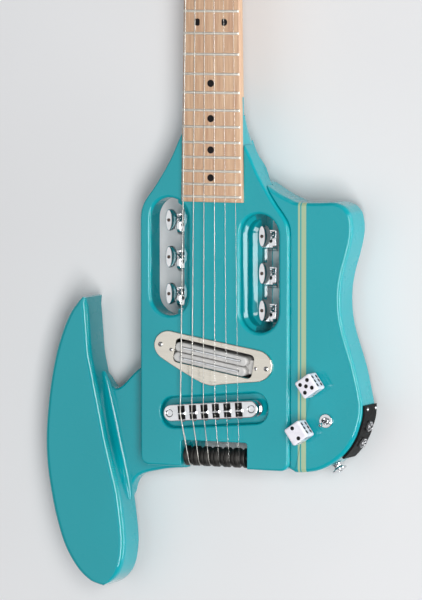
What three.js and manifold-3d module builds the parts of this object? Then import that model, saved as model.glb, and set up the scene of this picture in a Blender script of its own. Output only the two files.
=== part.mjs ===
// Headless travel guitar with a detachable armrest, lying on its back.
// Millimetres. +X points to the treble side, +Y along the neck to the head, +Z out of the face.
// Places along the neck are distances from the nut, so y is minus the distance.

import * as THREE from 'three';
import { mergeVertices } from 'three/addons/utils/BufferGeometryUtils.js';
import { RoundedBoxGeometry } from 'three/addons/geometries/RoundedBoxGeometry.js';
import Module from 'manifold-3d';

const wasm = await Module();
wasm.setup();

// Strings and scale
const SCALE_LENGTH = 628.65;
const FRET_COUNT = 22;
const STRING_DIAMETERS = [1.07, 0.81, 0.61, 0.41, 0.28, 0.23];
const STRING_SIDES = 5;
const NUT_STRING_SPREAD = 36;
const BRIDGE_STRING_SPREAD = 53.6;
const STRING_SEAT = 0.2;
const BALL_DIAMETER = 3.8;
const BALL_LENGTH = 3;
const BALL_SEAT_DIAMETER = 5.6;

// Clearances
const FIT_GAP = 0.3;
const HOLE_CLEARANCE = 0.9;
const POCKET_CLEARANCE = 1.2;
const OVERRUN = 1;

// Body levels and layers
const BODY_DEPTH = 44;
const CAP_THICKNESS = 19;
const CAP_WIDTH = 138.4;
const CAP_EDGE = 2;
const BODY_END = 683.2;
const BODY_CORNER = 8;
const SHOULDER_START = 395;
const SHOULDER_LENGTH = 76;
const SHOULDER_STAGGER = 12.5;

// Neck
const NUT_WIDTH = 43;
const NUT_THICKNESS = 5;
const BOARD_END_WIDTH = 56.5;
const BOARD_THICKNESS = 6;
const BOARD_OVERHANG = 4.5;
const BOARD_EDGE = 0.8;
const NECK_DEPTH = 15.5;
const HEAD_LENGTH = 27;
const HEEL_START = 368;
const HEEL_LENGTH = 62;
const NECK_TENON_LENGTH = 50;
const BEAM_WIDTH = 72.8;
const BEAM_EDGE = 3;
const TROUGH_WIDTH = 56.8;
const TROUGH_START = 466;
const TROUGH_ROOF = 5;
const TROUGH_ROOF_START = 608;

// Frets and dots
const FRET_WIDTH = 2.4;
const FRET_HEIGHT = 1.1;
const FRET_INSET = 0.9;
const FRET_SEAT = 0.4;

// Finger slots
const SLOT_WIDTH = 35.2;
const SLOT_END_ROOM = 37.2;
const SLOT_OFFSET = 41.9;
const BASS_SLOT_PLACE = 504.3;
const TREBLE_SLOT_PLACE = 516.5;

// Treble wing
const WING_REACH = 134;
const WING_LENGTH = 245.5;
const WING_OVERHANG = 1;
const WING_DROP = 4.5;
const WING_THICKNESS = 30;
const WING_EDGE = 3;
const WING_GROOVE = 0.6;
const WING_RIM = 2;

// Electronics cavity and its cover
const CAVITY_WALL = 9;
const COVER_WALL = 5;
const CAVITY_SIDE = 73.8;
const CAVITY_START = 590;
const CAVITY_END = 668;
const CAVITY_ROOF = 3.5;
const COVER_THICKNESS = 1.8;

// Armrest
const ARMREST_GAP = 15.9;
const ARMREST_WIDTH = 76;
const ARMREST_START = 540.6;
const ARMREST_LENGTH = 249.4;
const ARMREST_THICKNESS = 34;
const ARMREST_EDGE = 4.5;
const CRESCENT_CORNER_SHARE = 0.9;
const ARM_THICKNESS = 15;
const ARM_START = 600;
const ARM_END = 686.6;
const ARM_LIFT = 9.5;
const ARM_EDGE = 3;
const THUMBSCREW_OFFSET = 53;
const THUMBSCREW_PLACE = 643;
const THUMBSCREW_DIAMETER = 18;
const THUMBSCREW_HEAD = 7;
const THUMBSCREW_CHAMFER = 1.2;
const THUMBSCREW_SHANK = 5;
const THUMBSCREW_REACH = 32;

// Pickup
const PICKUP_PLACE = 590.2;
const PICKUP_TILT = THREE.MathUtils.degToRad(-10);
const PICKUP_LENGTH = 70;
const PICKUP_WIDTH = 16.4;
const PICKUP_CORNER = 2.7;
const PICKUP_ROOM = 2.2;
const PICKUP_BOTTOM = 31;
const PICKUP_TOP = 46.6;
const PICKUP_EAR_LENGTH = 86;
const PICKUP_EAR_WIDTH = 12;
const PICKUP_EAR_CORNER = 4;
const PICKUP_EAR_THICKNESS = 1.6;
const PICKUP_EAR_TOP = 41.6;
const PICKUP_CAVITY_FLOOR = 29.8;
const COIL_BAR_LENGTH = 62;
const COIL_BAR_WIDTH = 6.8;
const COIL_BAR_HEIGHT = 3.4;
const COIL_BAR_EDGE = 1.7;
const BLADE_LENGTH = 58;
const BLADE_THICKNESS = 1.5;
const BLADE_HEIGHT = 1.4;
const MAGNET_THICKNESS = 3;
const RING_WIDTH = 110;
const RING_HEIGHT = 45.6;
const RING_THICKNESS = 2.2;
const RING_EDGE = 0.6;

// Bridge
const BRIDGE_PLACE = 634;
const BRIDGE_TILT = THREE.MathUtils.degToRad(4.9);
const BRIDGE_LENGTH = 88.4;
const BRIDGE_WIDTH = 14.5;
const BRIDGE_BOTTOM = 44.8;
const BRIDGE_TOP = 51.4;
const BRIDGE_FLOOR = 1.5;
const BRIDGE_EDGE = 0.8;
const BRIDGE_POST_SPACING = 76.6;
const BRIDGE_POST_DIAMETER = 6;
const BRIDGE_WHEEL_DIAMETER = 13;
const BRIDGE_WHEEL_THICKNESS = 2.4;
const DRIVER_SLOT_WIDTH = 0.8;
const DRIVER_SLOT_DEPTH = 1.2;
const RECESS_LENGTH = 100;
const RECESS_WIDTH = 26.4;
const RECESS_CORNER = 9;
const RECESS_DEPTH = 7;
const SADDLE_WIDTH = 8;
const SADDLE_LENGTH = 3.6;
const SADDLE_TRAVEL = 4;
const SADDLE_TOP = 53;
const SADDLE_SCREW_DIAMETER = 2.2;

// String rollers
const ROLLER_COUNT = 6;
const ROLLER_PITCH = 9.5;
const ROLLER_WIDTH = 9;
const ROLLER_DIAMETER = 17;
const ROLLER_GROOVE_DEPTH = 1.4;
const GROOVE_MOUTH_SHARE = 0.5;
const GROOVE_FLOOR_SHARE = 0.2;
const ROLLER_PLACE = 674.2;
const ROLLER_HEIGHT = 36.4;
const ROLLER_AXLE_DIAMETER = 5;
const ROLLER_SLOT_WIDTH = 61.6;
const ROLLER_SLOT_START = 660.6;
const AXLE_SEAT_LENGTH = 6;

// Tuners
const TUNERS_PER_SIDE = 3;
const TUNER_PITCH = 31.4;
const BASS_TUNER_SHIFT = 0.5;
const WORM_OFFSET = 43.4;
const POST_DROP = 7.5;
const POST_HEIGHT = 12;
const POST_DIAMETER = 6;
const POST_TIP_OFFSET = 8;
const FLANGE_DIAMETER = 8.4;
const FLANGE_THICKNESS = 1.2;
const GEAR_TEETH = 14;
const GEAR_DIAMETER = 9.6;
const GEAR_TOOTH_DEPTH = 1.1;
const GEAR_THICKNESS = 3;
const WORM_DIAMETER = 4.6;
const WORM_SHAFT_DIAMETER = 3.4;
const HOUSING_BOTTOM = 4.6;
const HOUSING_TOP = 19;
const HOUSING_REACH = 10.4;
const HOUSING_WALL = 1.1;
const HOUSING_END_WALL = 1.65;
const HOUSING_RISE = 4;
const HOUSING_FALL = 14.4;
const HOUSING_STRIP = 0.8;
const BUTTON_TOP = 41;
const BUTTON_HEIGHT = 13.5;
const BUTTON_LENGTH = 19;
const BUTTON_THICKNESS = 6.6;
const BUTTON_EDGE = 1.6;
const COLLAR_DIAMETER = 6.4;
const COLLAR_HEIGHT = 2.4;
const WRAP_TURNS = 2;
const WRAP_STEPS = 12;
const WRAP_PITCH = 1.7;
const WRAP_SPACING = 5.5;
const WRAP_FIRST_OFFSET = 24.5;
const WINDING_GAP = 0.4;

// Head end
const ANCHOR_INSET = 2;
const ANCHOR_LENGTH = 14;
const ANCHOR_HEIGHT = 7.5;
const ANCHOR_PLACE = -10;
const ANCHOR_HOLE_HEIGHT = 4;
const BALL_SEAT_DEPTH = 5;
const NUT_STRING_HEIGHT = 1.6;
const TRUSS_ROD_DIAMETER = 6;
const TRUSS_NUT_DIAMETER = 8;
const TRUSS_NUT_LENGTH = 10;
const TRUSS_NUT_SIDES = 6;
const TRUSS_ROD_START = -20;
const TRUSS_ROD_END = 400;

// Knobs, switch, jacks
const KNOB_SIZE = 17;
const KNOB_EDGE = 2.2;
const KNOB_EDGE_STEPS = 2;
const KNOB_LIFT = 1;
const KNOB_TURN = THREE.MathUtils.degToRad(35);
const VOLUME_KNOB_PLACE = { x: 91.3, distance: 608.8 };
const TONE_KNOB_PLACE = { x: 81.6, distance: 648.8 };
const POT_DIAMETER = 14;
const POT_HEIGHT = 7.5;
const POT_BUSH_DIAMETER = 7;
const POT_SHAFT_DIAMETER = 4;
const SWITCH_PLACE = { x: 102.3, distance: 639.1 };
const SWITCH_BODY_WIDTH = 8;
const SWITCH_BODY_LENGTH = 13;
const SWITCH_BODY_HEIGHT = 9;
const SWITCH_BUSH_DIAMETER = 6.4;
const SWITCH_NUT_DIAMETER = 11.8;
const SWITCH_NUT_HEIGHT = 1.8;
const SWITCH_BUSH_HEIGHT = 4.4;
const LEVER_LENGTH = 12;
const LEVER_DIAMETER = 3;
const LEVER_SWING = THREE.MathUtils.degToRad(14);
const SIDE_PLATE_THICKNESS = 1.8;
const LOWER_EDGE_START = 545;
const SIDE_PLATE_START = 625.4;
const SIDE_PLATE_END = 669.5;
const SIDE_PLATE_MARGIN = 1.2;
const JACK_HEIGHT = 24;
const OUTPUT_JACK_PLACE = 642.6;
const HEADPHONE_JACK_PLACE = 656.2;
const JACK_BORE = 3.6;
const JACK_NUT_DIAMETER = 9.2;
const JACK_NUT_THICKNESS = 2.2;
const JACK_BARREL_DIAMETER = 6.6;
const JACK_BARREL_RISE = 3.4;
const JACK_DEPTH = 12;

// Strap buttons
const STRAP_BUTTON_DIAMETER = 13.4;
const STRAP_BUTTON_WAIST = 7;
const STRAP_BUTTON_FOOT = 9.4;
const STRAP_BUTTON_HEIGHT = 7;
const STRAP_WAIST_SHARES = [0.33, 0.5];
const STRAP_HEAD_SHARES = [0.72, 0.86];
const STRAP_BUTTON_SCREW = 3.5;
const STRAP_BUTTON_SCREW_LENGTH = 18;
const END_BUTTON_PLACE = 676.6;
const HEEL_BUTTON_PLACE = 396;
const HEEL_BUTTON_LEVEL = 17;
const HEEL_BUTTON_TURN = THREE.MathUtils.degToRad(-148);

// Smoothness of round shapes
const CURVE_STEPS = 4;
const OUTLINE_STEPS = 2;
const BAR_SECTION_STEPS = 12;
const BEAM_EDGE_STEPS = 3;
const CRESCENT_RINGS = 24;
const CRESCENT_CORNER_STEPS = 3;
const ROLLER_WRAP_STEPS = 8;
const SMALL_SIDES = 8;
const ROUND_SIDES = 14;
const WHEEL_SIDES = 16;
const FULL_TURN = 2 * Math.PI;
const MERGE_DISTANCE = 1e-4;
const LEAST_CORNER_SHARE = 0.5;
const MIRROR_X = new THREE.Matrix4().makeScale(-1, 1, 1);

// Heights and lengths worked out from the sizes above
const FACE = BODY_DEPTH;
const CAP_BOTTOM = FACE - CAP_THICKNESS;
const BEAM_TOP = CAP_BOTTOM - FIT_GAP;
const BOARD_TOP = FACE + BOARD_THICKNESS;
const NUT_STRING_BOTTOM = BOARD_TOP + NUT_STRING_HEIGHT;
const NUT_TOP = NUT_STRING_BOTTOM + STRING_DIAMETERS[0];
const ANCHOR_HOLE_LEVEL = FACE + ANCHOR_HOLE_HEIGHT;
const BALL_PLACE = ANCHOR_PLACE - ANCHOR_LENGTH + BALL_SEAT_DEPTH - BALL_DIAMETER / 2 - FIT_GAP;
const BOARD_LENGTH = fretDistance(FRET_COUNT) + BOARD_OVERHANG;
const WING_TOP = FACE - WING_DROP;
const WING_BOTTOM = WING_TOP - WING_THICKNESS;
const HALF_CAP = CAP_WIDTH / 2;
const HALF_BEAM = BEAM_WIDTH / 2;
const HALF_TROUGH = TROUGH_WIDTH / 2;
const TUNER_SPAN = (TUNERS_PER_SIDE - 1) * TUNER_PITCH;
const SLOT_LENGTH = TUNER_SPAN + SLOT_END_ROOM;
const WING_END = BODY_END + WING_OVERHANG;
const WING_START = WING_END - WING_LENGTH;
const ARMREST_REACH = HALF_CAP + ARMREST_GAP + ARMREST_WIDTH;
const SWITCH_PIVOT_LEVEL = WING_TOP + SWITCH_BUSH_HEIGHT / 2;
const ROLLER_GROOVE_RADIUS = ROLLER_DIAMETER / 2 - ROLLER_GROOVE_DEPTH;
const SADDLE_SCREW_LEVEL = (BRIDGE_BOTTOM + BRIDGE_FLOOR + BRIDGE_TOP) / 2;
const BRIDGE_POCKET_LENGTH = BRIDGE_STRING_SPREAD + SADDLE_WIDTH + 2 * FIT_GAP;
const BRIDGE_POCKET_WIDTH = SADDLE_LENGTH + SADDLE_TRAVEL + 2 * FIT_GAP;

function fretDistance(fret) {
  return SCALE_LENGTH * (1 - 2 ** (-fret / 12));
}

// Half the fretboard's width at a distance from the nut.
function boardHalfWidth(distance) {
  return (NUT_WIDTH + (BOARD_END_WIDTH - NUT_WIDTH) * (distance / BOARD_LENGTH)) / 2;
}

// A point of an outline seen from the front.
function at(x, distance) {
  return new THREE.Vector2(x, -distance);
}

// Solids

function solidOf(geometry) {
  const bare = new THREE.BufferGeometry();
  bare.setAttribute('position', geometry.getAttribute('position').clone());
  if (geometry.index) bare.setIndex(geometry.index.clone());
  const merged = mergeVertices(bare, MERGE_DISTANCE);
  const corners = merged.index.array;
  const triangles = [];
  for (let i = 0; i < corners.length; i += 3) {
    const [a, b, c] = [corners[i], corners[i + 1], corners[i + 2]];
    if (a !== b && b !== c && c !== a) triangles.push(a, b, c);
  }
  return new wasm.Manifold(new wasm.Mesh({
    numProp: 3,
    vertProperties: new Float32Array(merged.getAttribute('position').array),
    triVerts: new Uint32Array(triangles),
  }));
}

function geometryOf(solid) {
  const mesh = solid.getMesh();
  const geometry = new THREE.BufferGeometry();
  geometry.setAttribute('position', new THREE.Float32BufferAttribute(mesh.vertProperties, mesh.numProp));
  geometry.setIndex(Array.from(mesh.triVerts));
  return geometry;
}

function cut(geometry, ...tools) {
  let solid = solidOf(geometry);
  for (const tool of tools) solid = solid.subtract(solidOf(tool));
  return geometryOf(solid);
}

function join(geometry, ...others) {
  let solid = solidOf(geometry);
  for (const other of others) solid = solid.add(solidOf(other));
  return geometryOf(solid);
}

function common(geometry, other) {
  return geometryOf(solidOf(geometry).intersect(solidOf(other)));
}

function block({ x, y, z }) {
  const geometry = new THREE.BoxGeometry(x[1] - x[0], y[1] - y[0], z[1] - z[0]);
  return geometry.translate((x[0] + x[1]) / 2, (y[0] + y[1]) / 2, (z[0] + z[1]) / 2);
}

// A block given by distances from the nut.
function blockAlong({ x, from, to, z }) {
  return block({ x, y: [-to, -from], z });
}

function mirrored(range, side) {
  return side > 0 ? range : [-range[1], -range[0]];
}

// A flat plate between two heights, with rounded edges where an edge size is given.
function plate(outline, bottom, top, edge = 0) {
  const geometry = new THREE.ExtrudeGeometry(outline, {
    depth: top - bottom - 2 * edge,
    bevelEnabled: edge > 0,
    bevelSize: edge,
    bevelOffset: -edge,
    bevelThickness: edge,
    bevelSegments: 1,
    curveSegments: CURVE_STEPS,
  });
  return geometry.translate(0, 0, bottom + edge);
}

// Turns a shape drawn in x and y into the plane of y and z, with its depth along x.
function facingX(geometry) {
  const turn = new THREE.Matrix4().makeBasis(
    new THREE.Vector3(0, 1, 0),
    new THREE.Vector3(0, 0, 1),
    new THREE.Vector3(1, 0, 0),
  );
  return geometry.applyMatrix4(turn);
}

// A turned piece: its profile is a list of radius and height, its axis along z.
function turned(profile, sides) {
  const points = profile.map(([radius, height]) => new THREE.Vector2(radius, height));
  const geometry = new THREE.LatheGeometry(points, sides);
  return geometry.rotateX(Math.PI / 2);
}

function rod(diameter, bottom, top, sides = ROUND_SIDES) {
  const geometry = new THREE.CylinderGeometry(diameter / 2, diameter / 2, top - bottom, sides);
  return geometry.rotateX(Math.PI / 2).translate(0, 0, (bottom + top) / 2);
}

function rodAlongX(diameter, from, to, sides = ROUND_SIDES) {
  return rod(diameter, from, to, sides).rotateY(Math.PI / 2);
}

// A rod along the neck between two distances from the nut.
function rodAlongNeck(diameter, from, to, sides = ROUND_SIDES) {
  return rod(diameter, from, to, sides).rotateX(Math.PI / 2);
}

function placed(geometry, x, distance, z = 0) {
  return geometry.translate(x, -distance, z);
}

// A round-ended slot seen from the front.
function slotOutline(length, width) {
  const radius = width / 2;
  const reach = length / 2 - radius;
  const outline = new THREE.Shape();
  outline.moveTo(radius, -reach);
  outline.lineTo(radius, reach);
  outline.absarc(0, reach, radius, 0, Math.PI);
  outline.lineTo(-radius, -reach);
  outline.absarc(0, -reach, radius, Math.PI, FULL_TURN);
  return outline;
}

function roundedRectangle(width, height, corner) {
  const x = width / 2;
  const y = height / 2;
  const outline = new THREE.Shape();
  outline.moveTo(-x + corner, -y);
  outline.lineTo(x - corner, -y);
  outline.absarc(x - corner, -y + corner, corner, -Math.PI / 2, 0);
  outline.lineTo(x, y - corner);
  outline.absarc(x - corner, y - corner, corner, 0, Math.PI / 2);
  outline.lineTo(-x + corner, y);
  outline.absarc(-x + corner, y - corner, corner, Math.PI / 2, Math.PI);
  outline.lineTo(-x, -y + corner);
  outline.absarc(-x + corner, -y + corner, corner, Math.PI, 1.5 * Math.PI);
  return outline;
}

function polygon(points) {
  return new THREE.Shape(points);
}

// An outline moved outwards, or inwards where the distance is negative.
function grown(points, distance) {
  const clockwise = THREE.ShapeUtils.isClockWise(points);
  const outward = clockwise ? -distance : distance;
  return points.map((point, i) => {
    const before = points[(i + points.length - 1) % points.length];
    const after = points[(i + 1) % points.length];
    const arriving = point.clone().sub(before).normalize();
    const leaving = after.clone().sub(point).normalize();
    const normal = new THREE.Vector2(arriving.y + leaving.y, -arriving.x - leaving.x).normalize();
    const along = normal.x * leaving.y - normal.y * leaving.x;
    return point.clone().addScaledVector(normal, outward / Math.max(along, LEAST_CORNER_SHARE));
  });
}

function outlinePoints(outline) {
  return outline.extractPoints(OUTLINE_STEPS).shape;
}

// A closed skin over rings that have as many points each, with flat ends.
function loft(rings) {
  const size = rings[0].length;
  const index = [];
  for (let r = 0; r + 1 < rings.length; r += 1) {
    for (let i = 0; i < size; i += 1) {
      const [a, b] = [r * size + i, r * size + ((i + 1) % size)];
      index.push(a, a + size, b, b, a + size, b + size);
    }
  }
  const last = (rings.length - 1) * size;
  for (let i = 1; i + 1 < size; i += 1) {
    index.push(0, i, i + 1);
    index.push(last, last + i + 1, last + i);
  }
  const geometry = new THREE.BufferGeometry();
  geometry.setAttribute('position', new THREE.Float32BufferAttribute(rings.flat(2), 3));
  geometry.setIndex(index);
  return geometry;
}

// A bar through sections along the neck. Each has half a width, a top, a bottom and a squareness.
function barAlongNeck(sections) {
  return loft(sections.map(({ distance, halfWidth, top, bottom, squareness }) => {
    const ring = [];
    for (let i = 0; i <= BAR_SECTION_STEPS; i += 1) {
      const angle = Math.PI * (i / BAR_SECTION_STEPS);
      const across = Math.cos(angle);
      const down = Math.sin(angle);
      const x = halfWidth * Math.sign(across) * Math.abs(across) ** (2 / squareness);
      const z = top - (top - bottom) * Math.abs(down) ** (2 / squareness);
      ring.push([x, -distance, z]);
    }
    return ring;
  }));
}

// A flat-backed bar along the neck, with rounded edges on its back.
function flatBarAlongNeck(sections) {
  return loft(sections.map(({ distance, halfWidth, top, bottom }) => {
    const ring = [[halfWidth, top]];
    for (const side of [1, -1]) {
      for (let i = 0; i <= BEAM_EDGE_STEPS; i += 1) {
        const share = (side > 0 ? i : BEAM_EDGE_STEPS - i) / BEAM_EDGE_STEPS;
        const angle = (Math.PI / 2) * share;
        const x = side * (halfWidth - BEAM_EDGE + BEAM_EDGE * Math.cos(angle));
        ring.push([x, bottom + BEAM_EDGE - BEAM_EDGE * Math.sin(angle)]);
      }
    }
    ring.push([-halfWidth, top]);
    return ring.map(([x, z]) => [x, -distance, z]);
  }));
}

// A round wire through a list of points.
function wire(points, diameter, sides) {
  const radius = diameter / 2;
  const positions = [];
  const index = [];
  const tangents = points.map((point, i) => {
    const before = points[Math.max(i - 1, 0)];
    const after = points[Math.min(i + 1, points.length - 1)];
    return after.clone().sub(before).normalize();
  });
  const normal = new THREE.Vector3(1, 0, 0);
  points.forEach((point, i) => {
    normal.addScaledVector(tangents[i], -normal.dot(tangents[i])).normalize();
    const side = tangents[i].clone().cross(normal);
    for (let s = 0; s < sides; s += 1) {
      const angle = FULL_TURN * (s / sides);
      const corner = point.clone();
      corner.addScaledVector(normal, radius * Math.cos(angle));
      corner.addScaledVector(side, radius * Math.sin(angle));
      positions.push(corner.x, corner.y, corner.z);
    }
  });
  for (let i = 0; i + 1 < points.length; i += 1) {
    for (let s = 0; s < sides; s += 1) {
      const [a, b] = [i * sides + s, i * sides + ((s + 1) % sides)];
      index.push(a, b, a + sides, b, b + sides, a + sides);
    }
  }
  const last = (points.length - 1) * sides;
  for (let s = 1; s + 1 < sides; s += 1) {
    index.push(0, s + 1, s);
    index.push(last, last + s, last + s + 1);
  }
  const geometry = new THREE.BufferGeometry();
  geometry.setAttribute('position', new THREE.Float32BufferAttribute(positions, 3));
  geometry.setIndex(index);
  return geometry;
}

// Materials
const paint = { color: 0x2ea3ac, roughness: 0.12, metalness: 0 };
const maple = { color: 0xd6b292, roughness: 0.45, metalness: 0 };
const chrome = { color: 0xdadada, roughness: 0.12, metalness: 1 };
const steel = { color: 0xa8a8a8, roughness: 0.3, metalness: 1 };
const blackMetal = { color: 0x101010, roughness: 0.35, metalness: 0.6 };
const blackPlastic = { color: 0x141414, roughness: 0.5, metalness: 0 };
const whitePlastic = { color: 0xe6e0e6, roughness: 0.3, metalness: 0 };
const boneWhite = { color: 0xe8e0cc, roughness: 0.4, metalness: 0 };

const guitar = new THREE.Group();

function add(name, geometry, finish) {
  const mesh = new THREE.Mesh(geometry, new THREE.MeshStandardMaterial(finish));
  mesh.name = name;
  guitar.add(mesh);
  return mesh;
}

// Outlines

// The flare from the neck to the full width, as shares of half the width and of the shoulder.
const FLARE_SHARES = [
  [0.4, 0], [0.474, 0.117], [0.565, 0.297], [0.678, 0.478], [0.809, 0.659], [0.887, 0.751],
  [0.954, 0.842], [0.991, 0.933], [1, 1.02],
];

function flare(side) {
  const start = SHOULDER_START + (side > 0 ? SHOULDER_STAGGER : 0);
  return FLARE_SHARES.map(([across, along]) => (
    at(side * HALF_CAP * across, start + SHOULDER_LENGTH * along)
  ));
}

function capOutline() {
  const left = flare(-1);
  const right = flare(1);
  const outline = new THREE.Shape();
  outline.moveTo(left[0].x, left[0].y);
  outline.splineThru(left.slice(1));
  outline.lineTo(-HALF_CAP, -BODY_END + BODY_CORNER);
  outline.absarc(-HALF_CAP + BODY_CORNER, -BODY_END + BODY_CORNER, BODY_CORNER, Math.PI, 1.5 * Math.PI);
  outline.lineTo(HALF_CAP - BODY_CORNER, -BODY_END);
  outline.absarc(HALF_CAP - BODY_CORNER, -BODY_END + BODY_CORNER, BODY_CORNER, 1.5 * Math.PI, FULL_TURN);
  right.reverse();
  outline.lineTo(right[0].x, right[0].y);
  outline.splineThru(right.slice(1));
  return outline;
}

// The wing's outer edge from its top to its bottom, as shares of its reach and of its length.
const WING_EDGE_SHARES = [
  [0.325, 0.0065], [0.383, 0.026], [0.448, 0.0456], [0.504, 0.0587], [0.56, 0.069], [0.709, 0.069],
  [0.791, 0.0665], [0.835, 0.07], [0.876, 0.079], [0.9045, 0.0937], [0.9224, 0.1096], [0.935, 0.15],
  [0.929, 0.191], [0.905, 0.246], [0.8746, 0.302], [0.855, 0.357], [0.851, 0.412], [0.86, 0.467],
  [0.884, 0.522], [0.95, 0.631], [0.996, 0.74], [1, 0.774], [0.9955, 0.8024], [0.979, 0.835],
  [0.9515, 0.8737], [0.909, 0.9104], [0.848, 0.945], [0.769, 0.9735], [0.679, 0.9927], [0.56, 1],
  [0.525, 0.994], [0.45, 0.975],
];

function wingOutline() {
  const place = ([across, along]) => at(WING_REACH * across, WING_START + WING_LENGTH * along);
  const outline = new THREE.Shape();
  const [first, ...rest] = WING_EDGE_SHARES.map(place);
  outline.moveTo(HALF_BEAM + FIT_GAP, -WING_START);
  outline.lineTo(first.x, first.y);
  outline.splineThru(rest);
  outline.lineTo(HALF_BEAM + FIT_GAP, rest.at(-1).y);
  return outline;
}

// The crescent's outer and inner edge in pairs, as shares of its width and its length.
const CRESCENT_SHARES = [
  [[0.488, 0.002], [0.52, 0.005]], [[0.396, 0.026], [0.53, 0.029]], [[0.312, 0.059], [0.543, 0.066]],
  [[0.222, 0.117], [0.558, 0.126]], [[0.137, 0.195], [0.578, 0.198]], [[0.064, 0.298], [0.633, 0.278]],
  [[0.017, 0.411], [0.707, 0.383]], [[0, 0.507], [0.779, 0.487]], [[0.016, 0.595], [0.861, 0.587]],
  [[0.067, 0.691], [0.933, 0.675]], [[0.133, 0.777], [0.975, 0.759]], [[0.236, 0.868], [0.999, 0.84]],
  [[0.386, 0.941], [0.98, 0.904]], [[0.537, 0.982], [0.936, 0.945]], [[0.653, 0.996], [0.875, 0.97]],
  [[0.725, 1], [0.812, 0.986]],
];

function armrestPoint([across, along]) {
  return at(-ARMREST_REACH + ARMREST_WIDTH * across, ARMREST_START + ARMREST_LENGTH * along);
}

// Cross-sections from edge to edge with rounded corners, lofted from the lower tip to the upper one.
function crescent() {
  const outer = new THREE.SplineCurve(CRESCENT_SHARES.map(([share]) => armrestPoint(share)));
  const inner = new THREE.SplineCurve(CRESCENT_SHARES.map(([, share]) => armrestPoint(share)));
  const halfDepth = ARMREST_THICKNESS / 2;
  const rings = [];
  for (let r = 0; r <= CRESCENT_RINGS; r += 1) {
    const from = outer.getPoint(r / CRESCENT_RINGS);
    const to = inner.getPoint(r / CRESCENT_RINGS);
    const halfWidth = from.distanceTo(to) / 2;
    const across = to.clone().sub(from).normalize();
    const corner = Math.min(ARMREST_EDGE, halfWidth * CRESCENT_CORNER_SHARE);
    const ring = [];
    for (let quarter = 0; quarter < 4; quarter += 1) {
      const [sideways, upwards] = [[1, 1], [-1, 1], [-1, -1], [1, -1]][quarter];
      for (let i = 0; i <= CRESCENT_CORNER_STEPS; i += 1) {
        const angle = (Math.PI / 2) * (quarter + i / CRESCENT_CORNER_STEPS);
        const x = sideways * (halfWidth - corner) + corner * Math.cos(angle);
        const z = upwards * (halfDepth - corner) + corner * Math.sin(angle);
        const spot = from.clone().lerp(to, 1 / 2).addScaledVector(across, x);
        ring.push([spot.x, spot.y, FACE - halfDepth + z]);
      }
    }
    rings.push(ring);
  }
  return loft(rings.reverse());
}

// The arm from the crescent to its tongue under the cap.
const ARM_ROOT_TOP_SHARES = [
  [0.278, 0.326], [0.554, 0.25], [0.628, 0.276], [0.691, 0.302], [0.751, 0.32],
  [0.811, 0.318], [0.884, 0.302], [0.975, 0.273], [1.08, 0.246],
];
const ARM_ROOT_BOTTOM_SHARES = [
  [1.436, 0.591], [1.278, 0.6], [1.133, 0.611], [1.041, 0.626], [0.986, 0.651],
  [0.946, 0.687], [0.843, 0.727], [0.475, 0.703],
];

function armOutline() {
  const inner = -HALF_BEAM - FIT_GAP;
  const outline = new THREE.Shape();
  const [start, ...top] = ARM_ROOT_TOP_SHARES.map(armrestPoint);
  outline.moveTo(start.x, start.y);
  outline.splineThru([...top, at(-HALF_CAP - CAP_EDGE, ARM_START)]);
  outline.lineTo(inner, -ARM_START);
  outline.lineTo(inner, -ARM_END);
  outline.splineThru(ARM_ROOT_BOTTOM_SHARES.map(armrestPoint));
  return outline;
}

// Neck core: neck, heel and the beam behind the face

// The neck at the head: places as shares of the head's length, with the squareness of the back.
const HEAD_SHARES = [[-1, 3.2], [-0.2, 3], [1, 2.3]];

// The heel: places as shares of its length, depth gained as a share, and squareness.
const HEEL_SHARES = [[0, 0, 2.3], [0.25, 0.14, 2.6], [0.5, 0.41, 3.4], [0.8, 0.77, 5], [1.24, 0.84, 8]];

// The beam's start: places as shares of the heel, width gained, and the bottom's height share.
const BEAM_NOSE_SHARES = [[0.6, -0.1, 0.72], [0.8, 0, 0.36], [1, 0.5, 0.08], [1.32, 1, 0]];

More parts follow.
